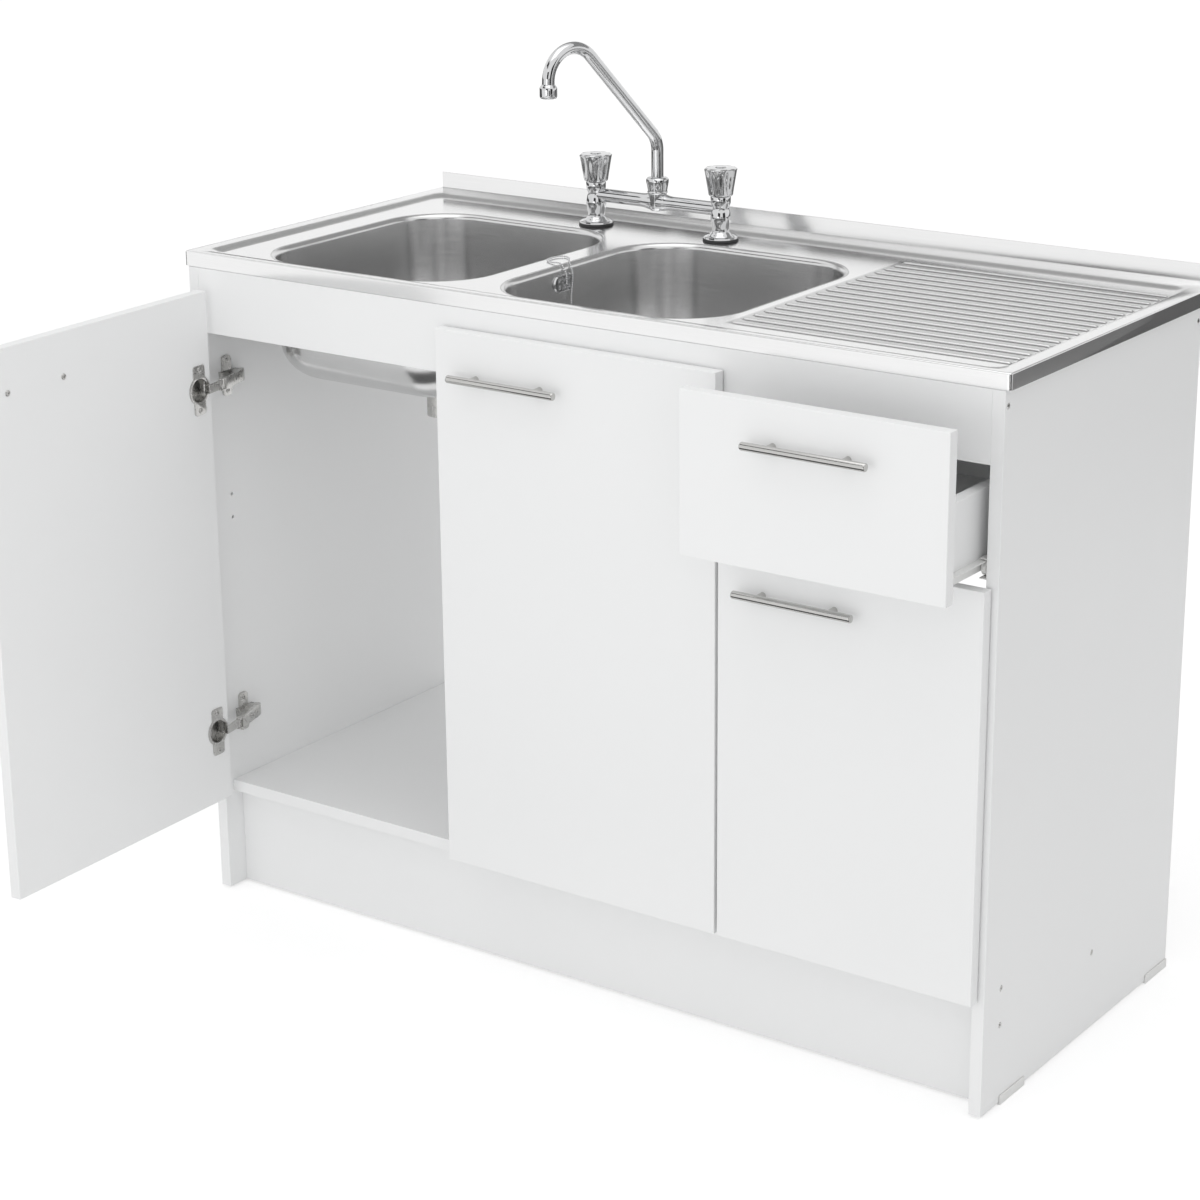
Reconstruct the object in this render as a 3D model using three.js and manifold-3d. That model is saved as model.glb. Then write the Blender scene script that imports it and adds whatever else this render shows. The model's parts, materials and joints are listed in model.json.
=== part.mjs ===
// A 1200 mm kitchen sink unit: a white board carcass on plastic feet, three doors on
// concealed hinges, one drawer on roller runners, and a lay-on stainless top with two
// bowls, a ribbed drainer and a bridge mixer tap.
// Millimetres. X runs left to right seen from the front, the front faces -Y, Z is up,
// and Z = 0 is the kitchen floor.

import * as THREE from "three";
import { mergeVertices } from "three/addons/utils/BufferGeometryUtils.js";
import Module from "manifold-3d";

const wasm = await Module();
wasm.setup();

// ---------------------------------------------------------------- driving sizes

// The whole unit
const UNIT_LENGTH = 1200;
const UNIT_DEPTH = 540;
const DECK_HEIGHT = 895;
const SEAT_GAP = 0.3; // between pieces that sit in or on one another

// Carcass
const BOARD = 16;
const FOOT_THICK = 3;
const FOOT_LENGTH = 62;
const FOOT_LIP = 9;
const FOOT_WALL = 1.6;
const FRONT_FOOT_SETBACK = 45;
const SIDE_INSET = 6; // side panels stand in from the worktop's ends
const REAR_SETBACK = 40; // the carcass stops short of the worktop's back edge
const BOTTOM_HEIGHT = 158; // floor to the top of the bottom panel
const PLINTH_SETBACK = 33;
const RAIL_HEIGHT = 85;
const REAR_RAIL_HEIGHT = 80;
const FLOOR_RAIL_HEIGHT = 70;
const FLOOR_RAIL_Y = 9;
const PARTITION_X = 236;
const SCREW_RADIUS = 3.8; // heads of the screws through the side panels
const SCREW_SINK = 1.5;
const RAIL_SCREW_DROP = 18;
const LOW_SCREW_DROP = 36; // below the bottom panel's underside

// Fronts
const FRONT_THICK = 16;
const FRONT_STANDOFF = 2; // between a closed front and the carcass
const FRONT_GAP = 4; // between neighbouring fronts
const FRONT_END_INSET = 8; // outer fronts stand in from the side panels' outer faces
const FRONT_BOTTOM = 150;
const FRONT_TOP = 850;
const DRAWER_FRONT_HEIGHT = 195;
const DRAWER_FRONT_OVERLAP = 5; // beyond its bay at either end

// Handles
const HANDLE_LENGTH = 160;
const HANDLE_CENTRES = 96;
const HANDLE_RADIUS = 5;
const HANDLE_POST_RADIUS = 4;
const HANDLE_STANDOFF = 16; // front to the middle of the bar
const HANDLE_FROM_TOP = 56;
const DRAWER_HANDLE_FROM_TOP = 49;
const LEFT_HANDLE_FROM_EDGE = 92;
const HANDLE_FROM_EDGE = 110;

// Concealed hinges. The plan positions are measured from the inner corner of the closed
// door at its hinged edge: X towards the free edge, Y into the cupboard.
const UPPER_HINGE_DROP = 127;
const LOWER_HINGE_RISE = 101;
const CUP_SETBACK = 22.5;
const CUP_RADIUS = 17.5;
const CUP_DEPTH = 12;
const CUP_WALL = 1;
const CUP_PLATE_LENGTH = 66;
const CUP_PLATE_WIDTH = 22;
const CUP_PLATE_THICK = 1.2;
const ARM_PIVOT = [36, 4.3];
const CUP_PIVOT = [9.7, -2.2];
const LINK_ELBOW = [13.4, -10.4];
const LINK_THICK = 2;
const LINK_HALF_WIDTH = 6;
const LINK_EYE_RADIUS = 2.2;
const HINGE_PIN_RADIUS = 1.1;
const HINGE_PIN_PLAY = 0.25;
const LINK_TURN_SHARE = 0.76; // link turn per degree of door opening
const ARM_HALF_WIDTH = 8;
const ARM_NOSE_RADIUS = 2.8;
const ARM_LENGTH = 60;
const HINGE_PLATE_Y = 44.5;
const HINGE_PLATE_SPAN = 54;
const HINGE_PLATE_WIDTH = 17;
const HINGE_HOLE_RADIUS = 2.5; // drilled for a third mounting plate
const HINGE_HOLE_DEPTH = 12;
const HINGE_HOLE_PITCH = 32;
const HINGE_HOLES_DROP = 290; // front's top edge to the upper hole
const LEFT_DOOR_OPEN = 88; // degrees, as photographed

// Drawer and its roller runners
const DRAWER_PULL = 82; // as photographed
const DRAWER_SIDE_GAP = 12.5;
const DRAWER_BOARD = 15;
const DRAWER_SIDE_HEIGHT = 92;
const DRAWER_SIDE_LIFT = 12; // above the drawer front's lower edge
const DRAWER_LENGTH = 400;
const DRAWER_BOTTOM_THICK = 4;
const DRAWER_BOTTOM_LIFT = 6;
const RUNNER_SHEET = 1.2;
const RUNNER_SEAT = 0.1; // a fixed runner's back to the board behind it
const RUNNER_RISE = 13;
const RUNNER_FLANGE = 10;
const ROLLER_RADIUS = 9;
const ROLLER_WIDTH = 6;
const ROLLER_PIN_RADIUS = 2.2;
const ROLLER_END_SETBACK = 12;

// Sink top
const SHEET = 1.2;
const FASCIA_DROP = 20;
const FASCIA_LIP = 12;
const UPSTAND_HEIGHT = 21.5;
const RECESS_DEPTH = 4;
const BOWL_LENGTH = 326;
const BOWL_WIDTH = 374;
const BOWL_CORNER = 82;
const BOWL_DEPTH = 160;
const BOWL_DRAFT = 2;
const BOWL_FLOOR_RADIUS = 50;
const BOWL_FALL = 3; // of the floor, towards the waste
const BOWL_RIM_RADIUS = 7;
const BOWL_FRONT_SETBACK = 32;
const FIRST_BOWL_FROM_END = 247;
const BOWL_PITCH = 373;
const WASTE_RADIUS = 35;
const RIB_COUNT = 18;
const RIB_PITCH = 23.3;
const RIB_WIDTH = 8;
const RIB_HEIGHT = 2.4;
const RIB_FRONT_SETBACK = 55;
const RIB_END_SETBACK = 28;
const RIB_BOWL_GAP = 25;

// Overflow, chain and plug
const OVERFLOW_LENGTH = 42;
const OVERFLOW_HEIGHT = 22;
const OVERFLOW_THICK = 2.5;
const OVERFLOW_DROP = 22; // recess floor to the plate's middle
const OVERFLOW_Y = -66;
const CHAIN_RADIUS = 1.2;
const PLUG_RADIUS = 22;
const PLUG_HEIGHT = 13;

// Tap
const TAP_SHIFT = 3; // from the middle between the bowls
const TAP_Y = 177;
const TAP_CENTRES = 200;
const PILLAR_HEIGHT = 55;
const PILLAR_RADIUS = 12.5;
const TAP_FLANGE_RADIUS = 22.5;
const BRIDGE_HEIGHT = 41;
const BRIDGE_RADIUS = 9;
const HUB_TOP = 74;
const HUB_RADIUS = 12;
const NUT_RADIUS = 15;
const NUT_HEIGHT = 19;
const KNOB_HEIGHT = 41;
const KNOB_BASE_RADIUS = 16;
const KNOB_TOP_RADIUS = 22;
const KNOB_FLUTES = 8;
const SPINDLE_RADIUS = 5;
const SPOUT_RADIUS = 8;
const SPOUT_SEAT = 14;
const SPOUT_REACH = 182;
const SPOUT_ARCH_RADIUS = 40;
const SPOUT_ARCH_HEIGHT = 217;
const SPOUT_SLOPE = 47;
const SPOUT_BEND_RADIUS = 35;
const SPOUT_OUTLET_DROP = 19;
const SPOUT_HEADING = -105; // degrees from +X, seen from above
const AERATOR_RADIUS = 11.2;
const AERATOR_HEIGHT = 19;

// ------------------------------------------------------------- places that follow

const HALF_LENGTH = UNIT_LENGTH / 2;
const FRONT = -UNIT_DEPTH / 2;
const BACK = UNIT_DEPTH / 2;
const PANEL_TOP = DECK_HEIGHT - FASCIA_DROP;
const PANEL_BACK = BACK - REAR_SETBACK;
const SIDE_OUT = HALF_LENGTH - SIDE_INSET;
const SIDE_IN = SIDE_OUT - BOARD;
const INNER_FRONT = FRONT + BOARD; // front of what stands behind the front rail
const PARTITION_RIGHT = PARTITION_X + BOARD / 2;
const PARTITION_LEFT = PARTITION_X - BOARD / 2;

const FRONTS_BACK = FRONT - FRONT_STANDOFF; // inner faces of closed doors
const FRONTS_LEFT = -SIDE_OUT + FRONT_END_INSET;
const FRONTS_RIGHT = SIDE_OUT - FRONT_END_INSET;
const RIGHT_FRONT_LEFT = PARTITION_X + FRONT_GAP / 2;
const MIDDLE_FRONT_RIGHT = PARTITION_X - FRONT_GAP / 2;
const PAIR_WIDTH = (MIDDLE_FRONT_RIGHT - FRONTS_LEFT - FRONT_GAP) / 2;
const RIGHT_WIDTH = FRONTS_RIGHT - RIGHT_FRONT_LEFT;
const DRAWER_FRONT_BOTTOM = FRONT_TOP - DRAWER_FRONT_HEIGHT;
const RIGHT_DOOR_TOP = DRAWER_FRONT_BOTTOM - FRONT_GAP;

const RECESS_FLOOR = DECK_HEIGHT - RECESS_DEPTH;
const LEFT_BOWL_X = -HALF_LENGTH + FIRST_BOWL_FROM_END;
const RIGHT_BOWL_X = LEFT_BOWL_X + BOWL_PITCH;
const BOWL_Y = FRONT + BOWL_FRONT_SETBACK + BOWL_WIDTH / 2;
const WALL_HEIGHT = BOWL_DEPTH - BOWL_FLOOR_RADIUS - BOWL_RIM_RADIUS;
const WALL_SLOPE = Math.atan(BOWL_DRAFT / WALL_HEIGHT);
const TAP_X = (LEFT_BOWL_X + RIGHT_BOWL_X) / 2 + TAP_SHIFT;

// ---------------------------------------------------------------------- materials

const finish = (color, roughness, metalness) =>
  new THREE.MeshStandardMaterial({ color, roughness, metalness });
const melamine = () => finish(0xf0f1f1, 0.45, 0);
const nickel = () => finish(0xa9a8a3, 0.32, 1);
const brushedSteel = () => finish(0xc3c4c2, 0.3, 1);
const chrome = () => finish(0xdfe0e2, 0.08, 1);
const whitePlastic = () => finish(0xe9eae8, 0.5, 0);
const paintedSteel = () => finish(0xe4e5e4, 0.4, 0.2);
const darkRubber = () => finish(0x1d1e1f, 0.6, 0);

// ------------------------------------------------------------------- solid helpers

// One copy of each vertex, no collapsed triangles, and faces that look outwards.
function closed(geometry) {
  const bare = new THREE.BufferGeometry();
  bare.setAttribute("position", geometry.getAttribute("position"));
  if (geometry.index) bare.setIndex(geometry.index);
  const merged = mergeVertices(bare, 1e-4);
  const corners = merged.index.array;
  const kept = [];
  let volume = 0;
  const [a, b, c] = [new THREE.Vector3(), new THREE.Vector3(), new THREE.Vector3()];
  for (let i = 0; i < corners.length; i += 3) {
    const [p, q, r] = [corners[i], corners[i + 1], corners[i + 2]];
    if (p === q || q === r || r === p) continue;
    kept.push(p, q, r);
    a.fromBufferAttribute(merged.attributes.position, p);
    b.fromBufferAttribute(merged.attributes.position, q);
    c.fromBufferAttribute(merged.attributes.position, r);
    volume += a.dot(b.cross(c));
  }
  merged.setIndex(volume < 0 ? kept.reverse() : kept);
  return merged;
}

function toSolid(geometry) {
  const body = closed(geometry);
  return new wasm.Manifold(
    new wasm.Mesh({
      numProp: 3,
      vertProperties: new Float32Array(body.attributes.position.array),
      triVerts: new Uint32Array(body.index.array),
    }),
  );
}

function toGeometry(solid) {
  const mesh = solid.getMesh();
  const geometry = new THREE.BufferGeometry();
  const positions = new THREE.Float32BufferAttribute(mesh.vertProperties, mesh.numProp);
  geometry.setAttribute("position", positions);
  geometry.setIndex([...mesh.triVerts]);
  return geometry;
}

function join(...pieces) {
  return toGeometry(pieces.map(toSolid).reduce((sum, piece) => sum.add(piece)));
}

function cut(body, ...tools) {
  const rest = (solid, tool) => solid.subtract(tool);
  return toGeometry(tools.map(toSolid).reduce(rest, toSolid(body)));
}

function box(x0, x1, y0, y1, z0, z1) {
  const block = new THREE.BoxGeometry(x1 - x0, y1 - y0, z1 - z0);
  return block.translate((x0 + x1) / 2, (y0 + y1) / 2, (z0 + z1) / 2);
}

// A flat outline pushed from low to high along one axis. The outline's own two
// coordinates are (x, y) for axis z, (y, z) for axis x and (x, z) for axis y.
function prism(outline, low, high, axis = "z", holes = []) {
  const toPoint = ([u, v]) => new THREE.Vector2(u, v);
  const shape = new THREE.Shape(outline.map(toPoint));
  shape.holes = holes.map((hole) => new THREE.Path(hole.map(toPoint)));
  const depth = high - low;
  const solid = new THREE.ExtrudeGeometry(shape, { depth, bevelEnabled: false });
  const [x, y, z] = [
    new THREE.Vector3(1, 0, 0),
    new THREE.Vector3(0, 1, 0),
    new THREE.Vector3(0, 0, 1),
  ];
  if (axis === "z") return solid.translate(0, 0, low);
  const turn = new THREE.Matrix4();
  if (axis === "x") turn.makeBasis(y, z, x);
  else turn.makeBasis(x, z, y.clone().negate());
  solid.applyMatrix4(turn);
  return axis === "x" ? solid.translate(low, 0, 0) : solid.translate(0, high, 0);
}

function circle(u, v, radius, count = 24) {
  const points = [];
  for (let i = 0; i < count; i++) {
    const angle = (2 * Math.PI * i) / count;
    points.push([u + radius * Math.cos(angle), v + radius * Math.sin(angle)]);
  }
  return points;
}

function roundedRect(u0, u1, v0, v1, radius, steps = 6) {
  const points = [];
  const corners = [
    [u1 - radius, v1 - radius],
    [u0 + radius, v1 - radius],
    [u0 + radius, v0 + radius],
    [u1 - radius, v0 + radius],
  ];
  corners.forEach(([u, v], corner) => {
    for (let i = 0; i <= steps; i++) {
      const angle = (Math.PI / 2) * (corner + i / steps);
      points.push([u + radius * Math.cos(angle), v + radius * Math.sin(angle)]);
    }
  });
  return points;
}

// A body of revolution about the vertical through (x, y); the profile is [radius, z].
function revolve(profile, x = 0, y = 0, segments = 20) {
  const points = profile.map(([radius, z]) => new THREE.Vector2(radius, z));
  return new THREE.LatheGeometry(points, segments).rotateX(Math.PI / 2).translate(x, y, 0);
}

function cylinder(radius, from, to, segments = 20) {
  const [start, end] = [new THREE.Vector3(...from), new THREE.Vector3(...to)];
  const way = end.clone().sub(start);
  const rod = new THREE.CylinderGeometry(radius, radius, way.length(), segments);
  const up = new THREE.Vector3(0, 1, 0);
  rod.applyQuaternion(new THREE.Quaternion().setFromUnitVectors(up, way.normalize()));
  const middle = start.add(end).multiplyScalar(0.5);
  return rod.translate(middle.x, middle.y, middle.z);
}

// A skin through rings of equal count, closed by a fan at the first and last ring.
function loft(rings) {
  const count = rings[0].length;
  const points = rings.flat();
  const faces = [];
  for (let ring = 0; ring + 1 < rings.length; ring++) {
    for (let i = 0; i < count; i++) {
      const [a, b] = [ring * count + i, ring * count + ((i + 1) % count)];
      faces.push(a, b, b + count, a, b + count, a + count);
    }
  }
  const cap = (first, flip) => {
    const rim = points.slice(first, first + count);
    const centre = [0, 1, 2].map((k) => rim.reduce((sum, p) => sum + p[k], 0) / count);
    const hub = points.push(centre) - 1;
    for (let i = 0; i < count; i++) {
      const [a, b] = [first + i, first + ((i + 1) % count)];
      faces.push(...(flip ? [hub, b, a] : [hub, a, b]));
    }
  };
  cap(0, true);
  cap((rings.length - 1) * count, false);
  const geometry = new THREE.BufferGeometry();
  geometry.setAttribute("position", new THREE.Float32BufferAttribute(points.flat(), 3));
  geometry.setIndex(faces);
  return geometry;
}

function tube(points, radius, sides, steps) {
  const path = new THREE.CatmullRomCurve3(
    points.map((p) => new THREE.Vector3(...p)),
    false,
    "centripetal",
  );
  const section = new THREE.Shape(
    circle(0, 0, radius, sides).map(([u, v]) => new THREE.Vector2(u, v)),
  );
  return new THREE.ExtrudeGeometry(section, { steps, extrudePath: path });
}

const unit = new THREE.Group();
unit.name = "sink_unit";

function add(parent, name, geometry, material) {
  const mesh = new THREE.Mesh(closed(geometry), material);
  mesh.name = name;
  parent.add(mesh);
  return mesh;
}

function group(parent, x = 0, y = 0, z = 0) {
  const holder = new THREE.Group();
  holder.position.set(x, y, z);
  parent.add(holder);
  return holder;
}

// ------------------------------------------------------------------------ carcass

// Shallow sinks for the screw heads in a side panel's outer face, one per board end.
function screwSinks(side) {
  const bottomUnder = BOTTOM_HEIGHT - BOARD;
  const plinthMiddle = FRONT + PLINTH_SETBACK + BOARD / 2;
  const places = [
    [FRONT + BOARD / 2, PANEL_TOP - RAIL_SCREW_DROP],
    [PANEL_BACK - BOARD / 2, PANEL_TOP - RAIL_SCREW_DROP],
    [plinthMiddle, BOTTOM_HEIGHT - 5],
    [plinthMiddle, bottomUnder - LOW_SCREW_DROP],
    [FLOOR_RAIL_Y, bottomUnder - LOW_SCREW_DROP],
  ];
  return places.map(([y, z]) => {
    const mouth = [side * (SIDE_OUT + 1), y, z];
    return cylinder(SCREW_RADIUS, mouth, [side * (SIDE_OUT - SCREW_SINK), y, z], 12);
  });
}

function addCarcass() {
  const panel = (x) => box(x, x + BOARD, FRONT, PANEL_BACK, FOOT_THICK, PANEL_TOP);
  const holeY = FRONTS_BACK + HINGE_PLATE_Y;
  const holes = [0, HINGE_HOLE_PITCH].map((down) => {
    const z = FRONT_TOP - HINGE_HOLES_DROP - down;
    const mouth = [-SIDE_IN + 1, holeY, z];
    return cylinder(HINGE_HOLE_RADIUS, mouth, [-SIDE_IN - HINGE_HOLE_DEPTH, holeY, z], 12);
  });
  add(unit, "left_side_panel", cut(panel(-SIDE_OUT), ...holes, ...screwSinks(-1)), melamine());
  add(unit, "right_side_panel", cut(panel(SIDE_IN), ...screwSinks(1)), melamine());

  const across = (y0, y1, z0, z1) => box(-SIDE_IN, SIDE_IN, y0, y1, z0, z1);
  const bottomUnder = BOTTOM_HEIGHT - BOARD;
  const rearRailFront = PANEL_BACK - BOARD;
  const bottom = across(INNER_FRONT, PANEL_BACK, bottomUnder, BOTTOM_HEIGHT);
  add(unit, "bottom_panel", bottom, melamine());

  const plinthY = FRONT + PLINTH_SETBACK;
  const plinth = across(plinthY, plinthY + BOARD, FOOT_THICK, bottomUnder);
  add(unit, "plinth", plinth, melamine());

  const floorRail = across(
    FLOOR_RAIL_Y - BOARD / 2,
    FLOOR_RAIL_Y + BOARD / 2,
    bottomUnder - FLOOR_RAIL_HEIGHT,
    bottomUnder,
  );
  add(unit, "floor_rail", floorRail, melamine());

  const frontRail = across(FRONT, INNER_FRONT, PANEL_TOP - RAIL_HEIGHT, PANEL_TOP);
  add(unit, "front_top_rail", frontRail, melamine());

  const rearRail = across(rearRailFront, PANEL_BACK, PANEL_TOP - REAR_RAIL_HEIGHT, PANEL_TOP);
  add(unit, "rear_top_rail", rearRail, melamine());

  const partition = box(
    PARTITION_LEFT,
    PARTITION_RIGHT,
    INNER_FRONT,
    rearRailFront,
    BOTTOM_HEIGHT,
    PANEL_TOP,
  );
  add(unit, "partition", partition, melamine());
}

// White plastic feet: a sole under each side panel with a lip up its outer face.
function addFeet() {
  const lipOut = SIDE_OUT + SEAT_GAP + FOOT_WALL;
  const section = [
    [SIDE_IN, 0],
    [lipOut, 0],
    [lipOut, FOOT_THICK + FOOT_LIP],
    [SIDE_OUT + SEAT_GAP, FOOT_THICK + FOOT_LIP],
    [SIDE_OUT + SEAT_GAP, FOOT_THICK],
    [SIDE_IN, FOOT_THICK],
  ];
  const places = { front: FRONT + FRONT_FOOT_SETBACK, rear: PANEL_BACK - FOOT_LENGTH };
  for (const [side, mirror] of [["left", -1], ["right", 1]]) {
    const holder = group(unit);
    holder.scale.x = mirror;
    for (const [end, y] of Object.entries(places)) {
      const foot = prism(section, y, y + FOOT_LENGTH, "y");
      add(holder, `foot_${side}_${end}`, foot, whitePlastic());
    }
  }
}

// ------------------------------------------------------------------------ handles

// A round bar on two posts, centred on (x, z) of a front whose outer face is at y.
function barHandle(x, y, z) {
  const half = HANDLE_LENGTH / 2;
  const round = HANDLE_RADIUS / 3;
  const bar = revolve([
    [0, -half],
    [HANDLE_RADIUS - round, -half],
    [HANDLE_RADIUS, -half + round],
    [HANDLE_RADIUS, half - round],
    [HANDLE_RADIUS - round, half],
    [0, half],
  ], 0, 0, 16);
  bar.rotateY(Math.PI / 2).translate(x, y - HANDLE_STANDOFF, z);
  const posts = [-1, 1].map((side) => {
    const postX = x + (side * HANDLE_CENTRES) / 2;
    const from = [postX, y, z];
    return cylinder(HANDLE_POST_RADIUS, from, [postX, y - HANDLE_STANDOFF, z], 12);
  });
  return join(bar, ...posts);
}

// ------------------------------------------------------------------ concealed hinges

const turned = ([x, y], degrees) => {
  const angle = THREE.MathUtils.degToRad(degrees);
  const [c, s] = [Math.cos(angle), Math.sin(angle)];
  return [x * c - y * s, x * s + y * c];
};

// Where a door stands in its closed frame when it has opened by so many degrees. Its
// link has turned about the arm's pivot, and the door about the link's other end.
function doorPose(opening) {
  const reach = [CUP_PIVOT[0] - ARM_PIVOT[0], CUP_PIVOT[1] - ARM_PIVOT[1]];
  const swung = turned(reach, LINK_TURN_SHARE * opening);
  const back = turned([-CUP_PIVOT[0], -CUP_PIVOT[1]], -opening);
  return [ARM_PIVOT[0] + swung[0] + back[0], ARM_PIVOT[1] + swung[1] + back[1]];
}

// The cup and its screw plate, let into the door's inner face (y = 0).
function hingeCup(z) {
  const inner = CUP_RADIUS - CUP_WALL - 1;
  const shell = revolve([
    [0, -CUP_WALL],
    [CUP_RADIUS, -CUP_WALL],
    [CUP_RADIUS, CUP_DEPTH],
    [CUP_RADIUS + 2, CUP_DEPTH],
    [CUP_RADIUS + 2, CUP_DEPTH + CUP_PLATE_THICK],
    [inner, CUP_DEPTH + CUP_PLATE_THICK],
    [inner, 0],
    [0, 0],
  ], 0, 0, 20);
  // Z of the profile is turned to point out of the door
  shell.rotateX(-Math.PI / 2).translate(CUP_SETBACK, -CUP_DEPTH, z);
  const plate = prism(
    roundedRect(
      CUP_SETBACK - CUP_PLATE_WIDTH / 2,
      CUP_SETBACK + CUP_PLATE_WIDTH / 2,
      z - CUP_PLATE_LENGTH / 2,
      z + CUP_PLATE_LENGTH / 2,
      4,
      3,
    ),
    0,
    CUP_PLATE_THICK,
    "y",
  );
  const mouth = cylinder(inner, [CUP_SETBACK, -1, z], [CUP_SETBACK, 9, z], 20);
  const [px, py] = CUP_PIVOT;
  const room = LINK_HALF_WIDTH + SEAT_GAP;
  const eyeRoom = LINK_EYE_RADIUS + SEAT_GAP;
  const pocket = box(px - eyeRoom, px + 6, -CUP_DEPTH, 9, z - room, z + room);
  const pinHalf = CUP_RADIUS - 7;
  const pin = cylinder(HINGE_PIN_RADIUS, [px, py, z - pinHalf], [px, py, z + pinHalf], 12);
  return join(cut(shell, pocket), cut(plate, mouth, pocket), pin);
}

// The bent strap between the two pins, in the closed door's frame.
function hingeLink(z) {
  const half = LINK_THICK / 2;
  const bar = ([ax, ay], [bx, by]) => {
    const length = Math.hypot(bx - ax, by - ay);
    const angle = Math.atan2(by - ay, bx - ax);
    const strap = box(0, length, -half, half, z - LINK_HALF_WIDTH, z + LINK_HALF_WIDTH);
    return strap.rotateZ(angle).translate(ax, ay, 0);
  };
  const post = ([x, y], radius) =>
    prism(circle(x, y, radius, 12), z - LINK_HALF_WIDTH, z + LINK_HALF_WIDTH);
  const bore = ([x, y]) =>
    prism(circle(x, y, HINGE_PIN_RADIUS + HINGE_PIN_PLAY, 12), z - 20, z + 20);
  const strap = join(
    bar(ARM_PIVOT, LINK_ELBOW),
    bar(LINK_ELBOW, CUP_PIVOT),
    post(LINK_ELBOW, half),
    post(ARM_PIVOT, LINK_EYE_RADIUS + 0.3),
    post(CUP_PIVOT, LINK_EYE_RADIUS),
  );
  return cut(strap, bore(ARM_PIVOT), bore(CUP_PIVOT));
}

// The arm on its cross-shaped mounting plate; overlay is how far the door covers the
// edge of the panel that carries it, so the panel's face is at x = overlay.
function hingeArm(z, overlay) {
  const [ax, ay] = ARM_PIVOT;
  const tail = ARM_PIVOT[1] + ARM_LENGTH;
  const arm = prism([
    [ax - ARM_NOSE_RADIUS, ay],
    [ax - ARM_NOSE_RADIUS, ay + 8],
    [overlay + 8, ay + 26],
    [overlay + 8, tail - 4],
    [overlay + 10, tail],
    [overlay + 15, tail],
    [overlay + 18, tail - 6],
    [ax, ay + 18],
    [ax + ARM_NOSE_RADIUS, ay + 10],
    [ax + ARM_NOSE_RADIUS, ay],
  ], z - ARM_HALF_WIDTH, z + ARM_HALF_WIDTH);
  const nose = prism(
    circle(ax, ay, ARM_NOSE_RADIUS, 20),
    z - ARM_HALF_WIDTH,
    z + ARM_HALF_WIDTH,
  );
  const slot = LINK_HALF_WIDTH + SEAT_GAP;
  const fork = box(ax - 12, ax + 12, ay - 8, ay + 6, z - slot, z + slot);
  const pin = prism(circle(ax, ay, HINGE_PIN_RADIUS, 12), z - slot - 1, z + slot + 1);
  const wings = prism(
    roundedRect(
      HINGE_PLATE_Y - HINGE_PLATE_WIDTH / 2,
      HINGE_PLATE_Y + HINGE_PLATE_WIDTH / 2,
      z - HINGE_PLATE_SPAN / 2,
      z + HINGE_PLATE_SPAN / 2,
      5,
      3,
    ),
    overlay,
    overlay + 2.5,
    "x",
  );
  const saddle = box(overlay, overlay + 9, HINGE_PLATE_Y - 14, tail - 2, z - 7, z + 7);
  return join(cut(join(arm, nose), fork), pin, wings, saddle);
}

// ---------------------------------------------------------------------- the doors

// A door built in its closed frame: origin at the inner corner of the hinged edge, x
// towards the free edge. hand is 1 where the hinges are on the left and -1 on the right.
function addDoor(name, { edgeX, hand, width, top, overlay, handleFromEdge, opening }) {
  const frame = group(unit, edgeX, FRONTS_BACK, 0);
  frame.scale.x = hand;
  const leaf = group(frame, ...doorPose(opening));
  leaf.rotation.z = -THREE.MathUtils.degToRad(opening);
  const hinges = { upper: top - UPPER_HINGE_DROP, lower: FRONT_BOTTOM + LOWER_HINGE_RISE };

  const pocketDepth = CUP_DEPTH + CUP_WALL + SEAT_GAP;
  const pockets = Object.values(hinges).map((z) =>
    cylinder(CUP_RADIUS + SEAT_GAP, [CUP_SETBACK, 9, z], [CUP_SETBACK, -pocketDepth, z], 20),
  );
  const board = box(0, width, -FRONT_THICK, 0, FRONT_BOTTOM, top);
  add(leaf, name, cut(board, ...pockets), melamine());

  const handle = barHandle(width - handleFromEdge, -FRONT_THICK, top - HANDLE_FROM_TOP);
  add(leaf, `${name}_handle`, handle, nickel());

  for (const [place, z] of Object.entries(hinges)) {
    add(leaf, `${name}_${place}_cup`, hingeCup(z), nickel());
    add(frame, `${name}_${place}_arm`, hingeArm(z, overlay), nickel());
    const swing = group(frame, ARM_PIVOT[0], ARM_PIVOT[1], 0);
    swing.rotation.z = THREE.MathUtils.degToRad(LINK_TURN_SHARE * opening);
    const link = hingeLink(z).translate(-ARM_PIVOT[0], -ARM_PIVOT[1], 0);
    add(swing, `${name}_${place}_link`, link, nickel());
  }
}

function addDoors() {
  const sideOverlay = BOARD - FRONT_END_INSET;
  addDoor("left_door", {
    edgeX: FRONTS_LEFT,
    hand: 1,
    width: PAIR_WIDTH,
    top: FRONT_TOP,
    overlay: sideOverlay,
    handleFromEdge: LEFT_HANDLE_FROM_EDGE,
    opening: LEFT_DOOR_OPEN,
  });
  addDoor("middle_door", {
    edgeX: MIDDLE_FRONT_RIGHT,
    hand: -1,
    width: PAIR_WIDTH,
    top: FRONT_TOP,
    overlay: MIDDLE_FRONT_RIGHT - PARTITION_LEFT,
    handleFromEdge: HANDLE_FROM_EDGE,
    opening: 0,
  });
  addDoor("right_door", {
    edgeX: FRONTS_RIGHT,
    hand: -1,
    width: RIGHT_WIDTH,
    top: RIGHT_DOOR_TOP,
    overlay: sideOverlay,
    handleFromEdge: HANDLE_FROM_EDGE,
    opening: 0,
  });
}

// ----------------------------------------------------------------------- the drawer

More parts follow.
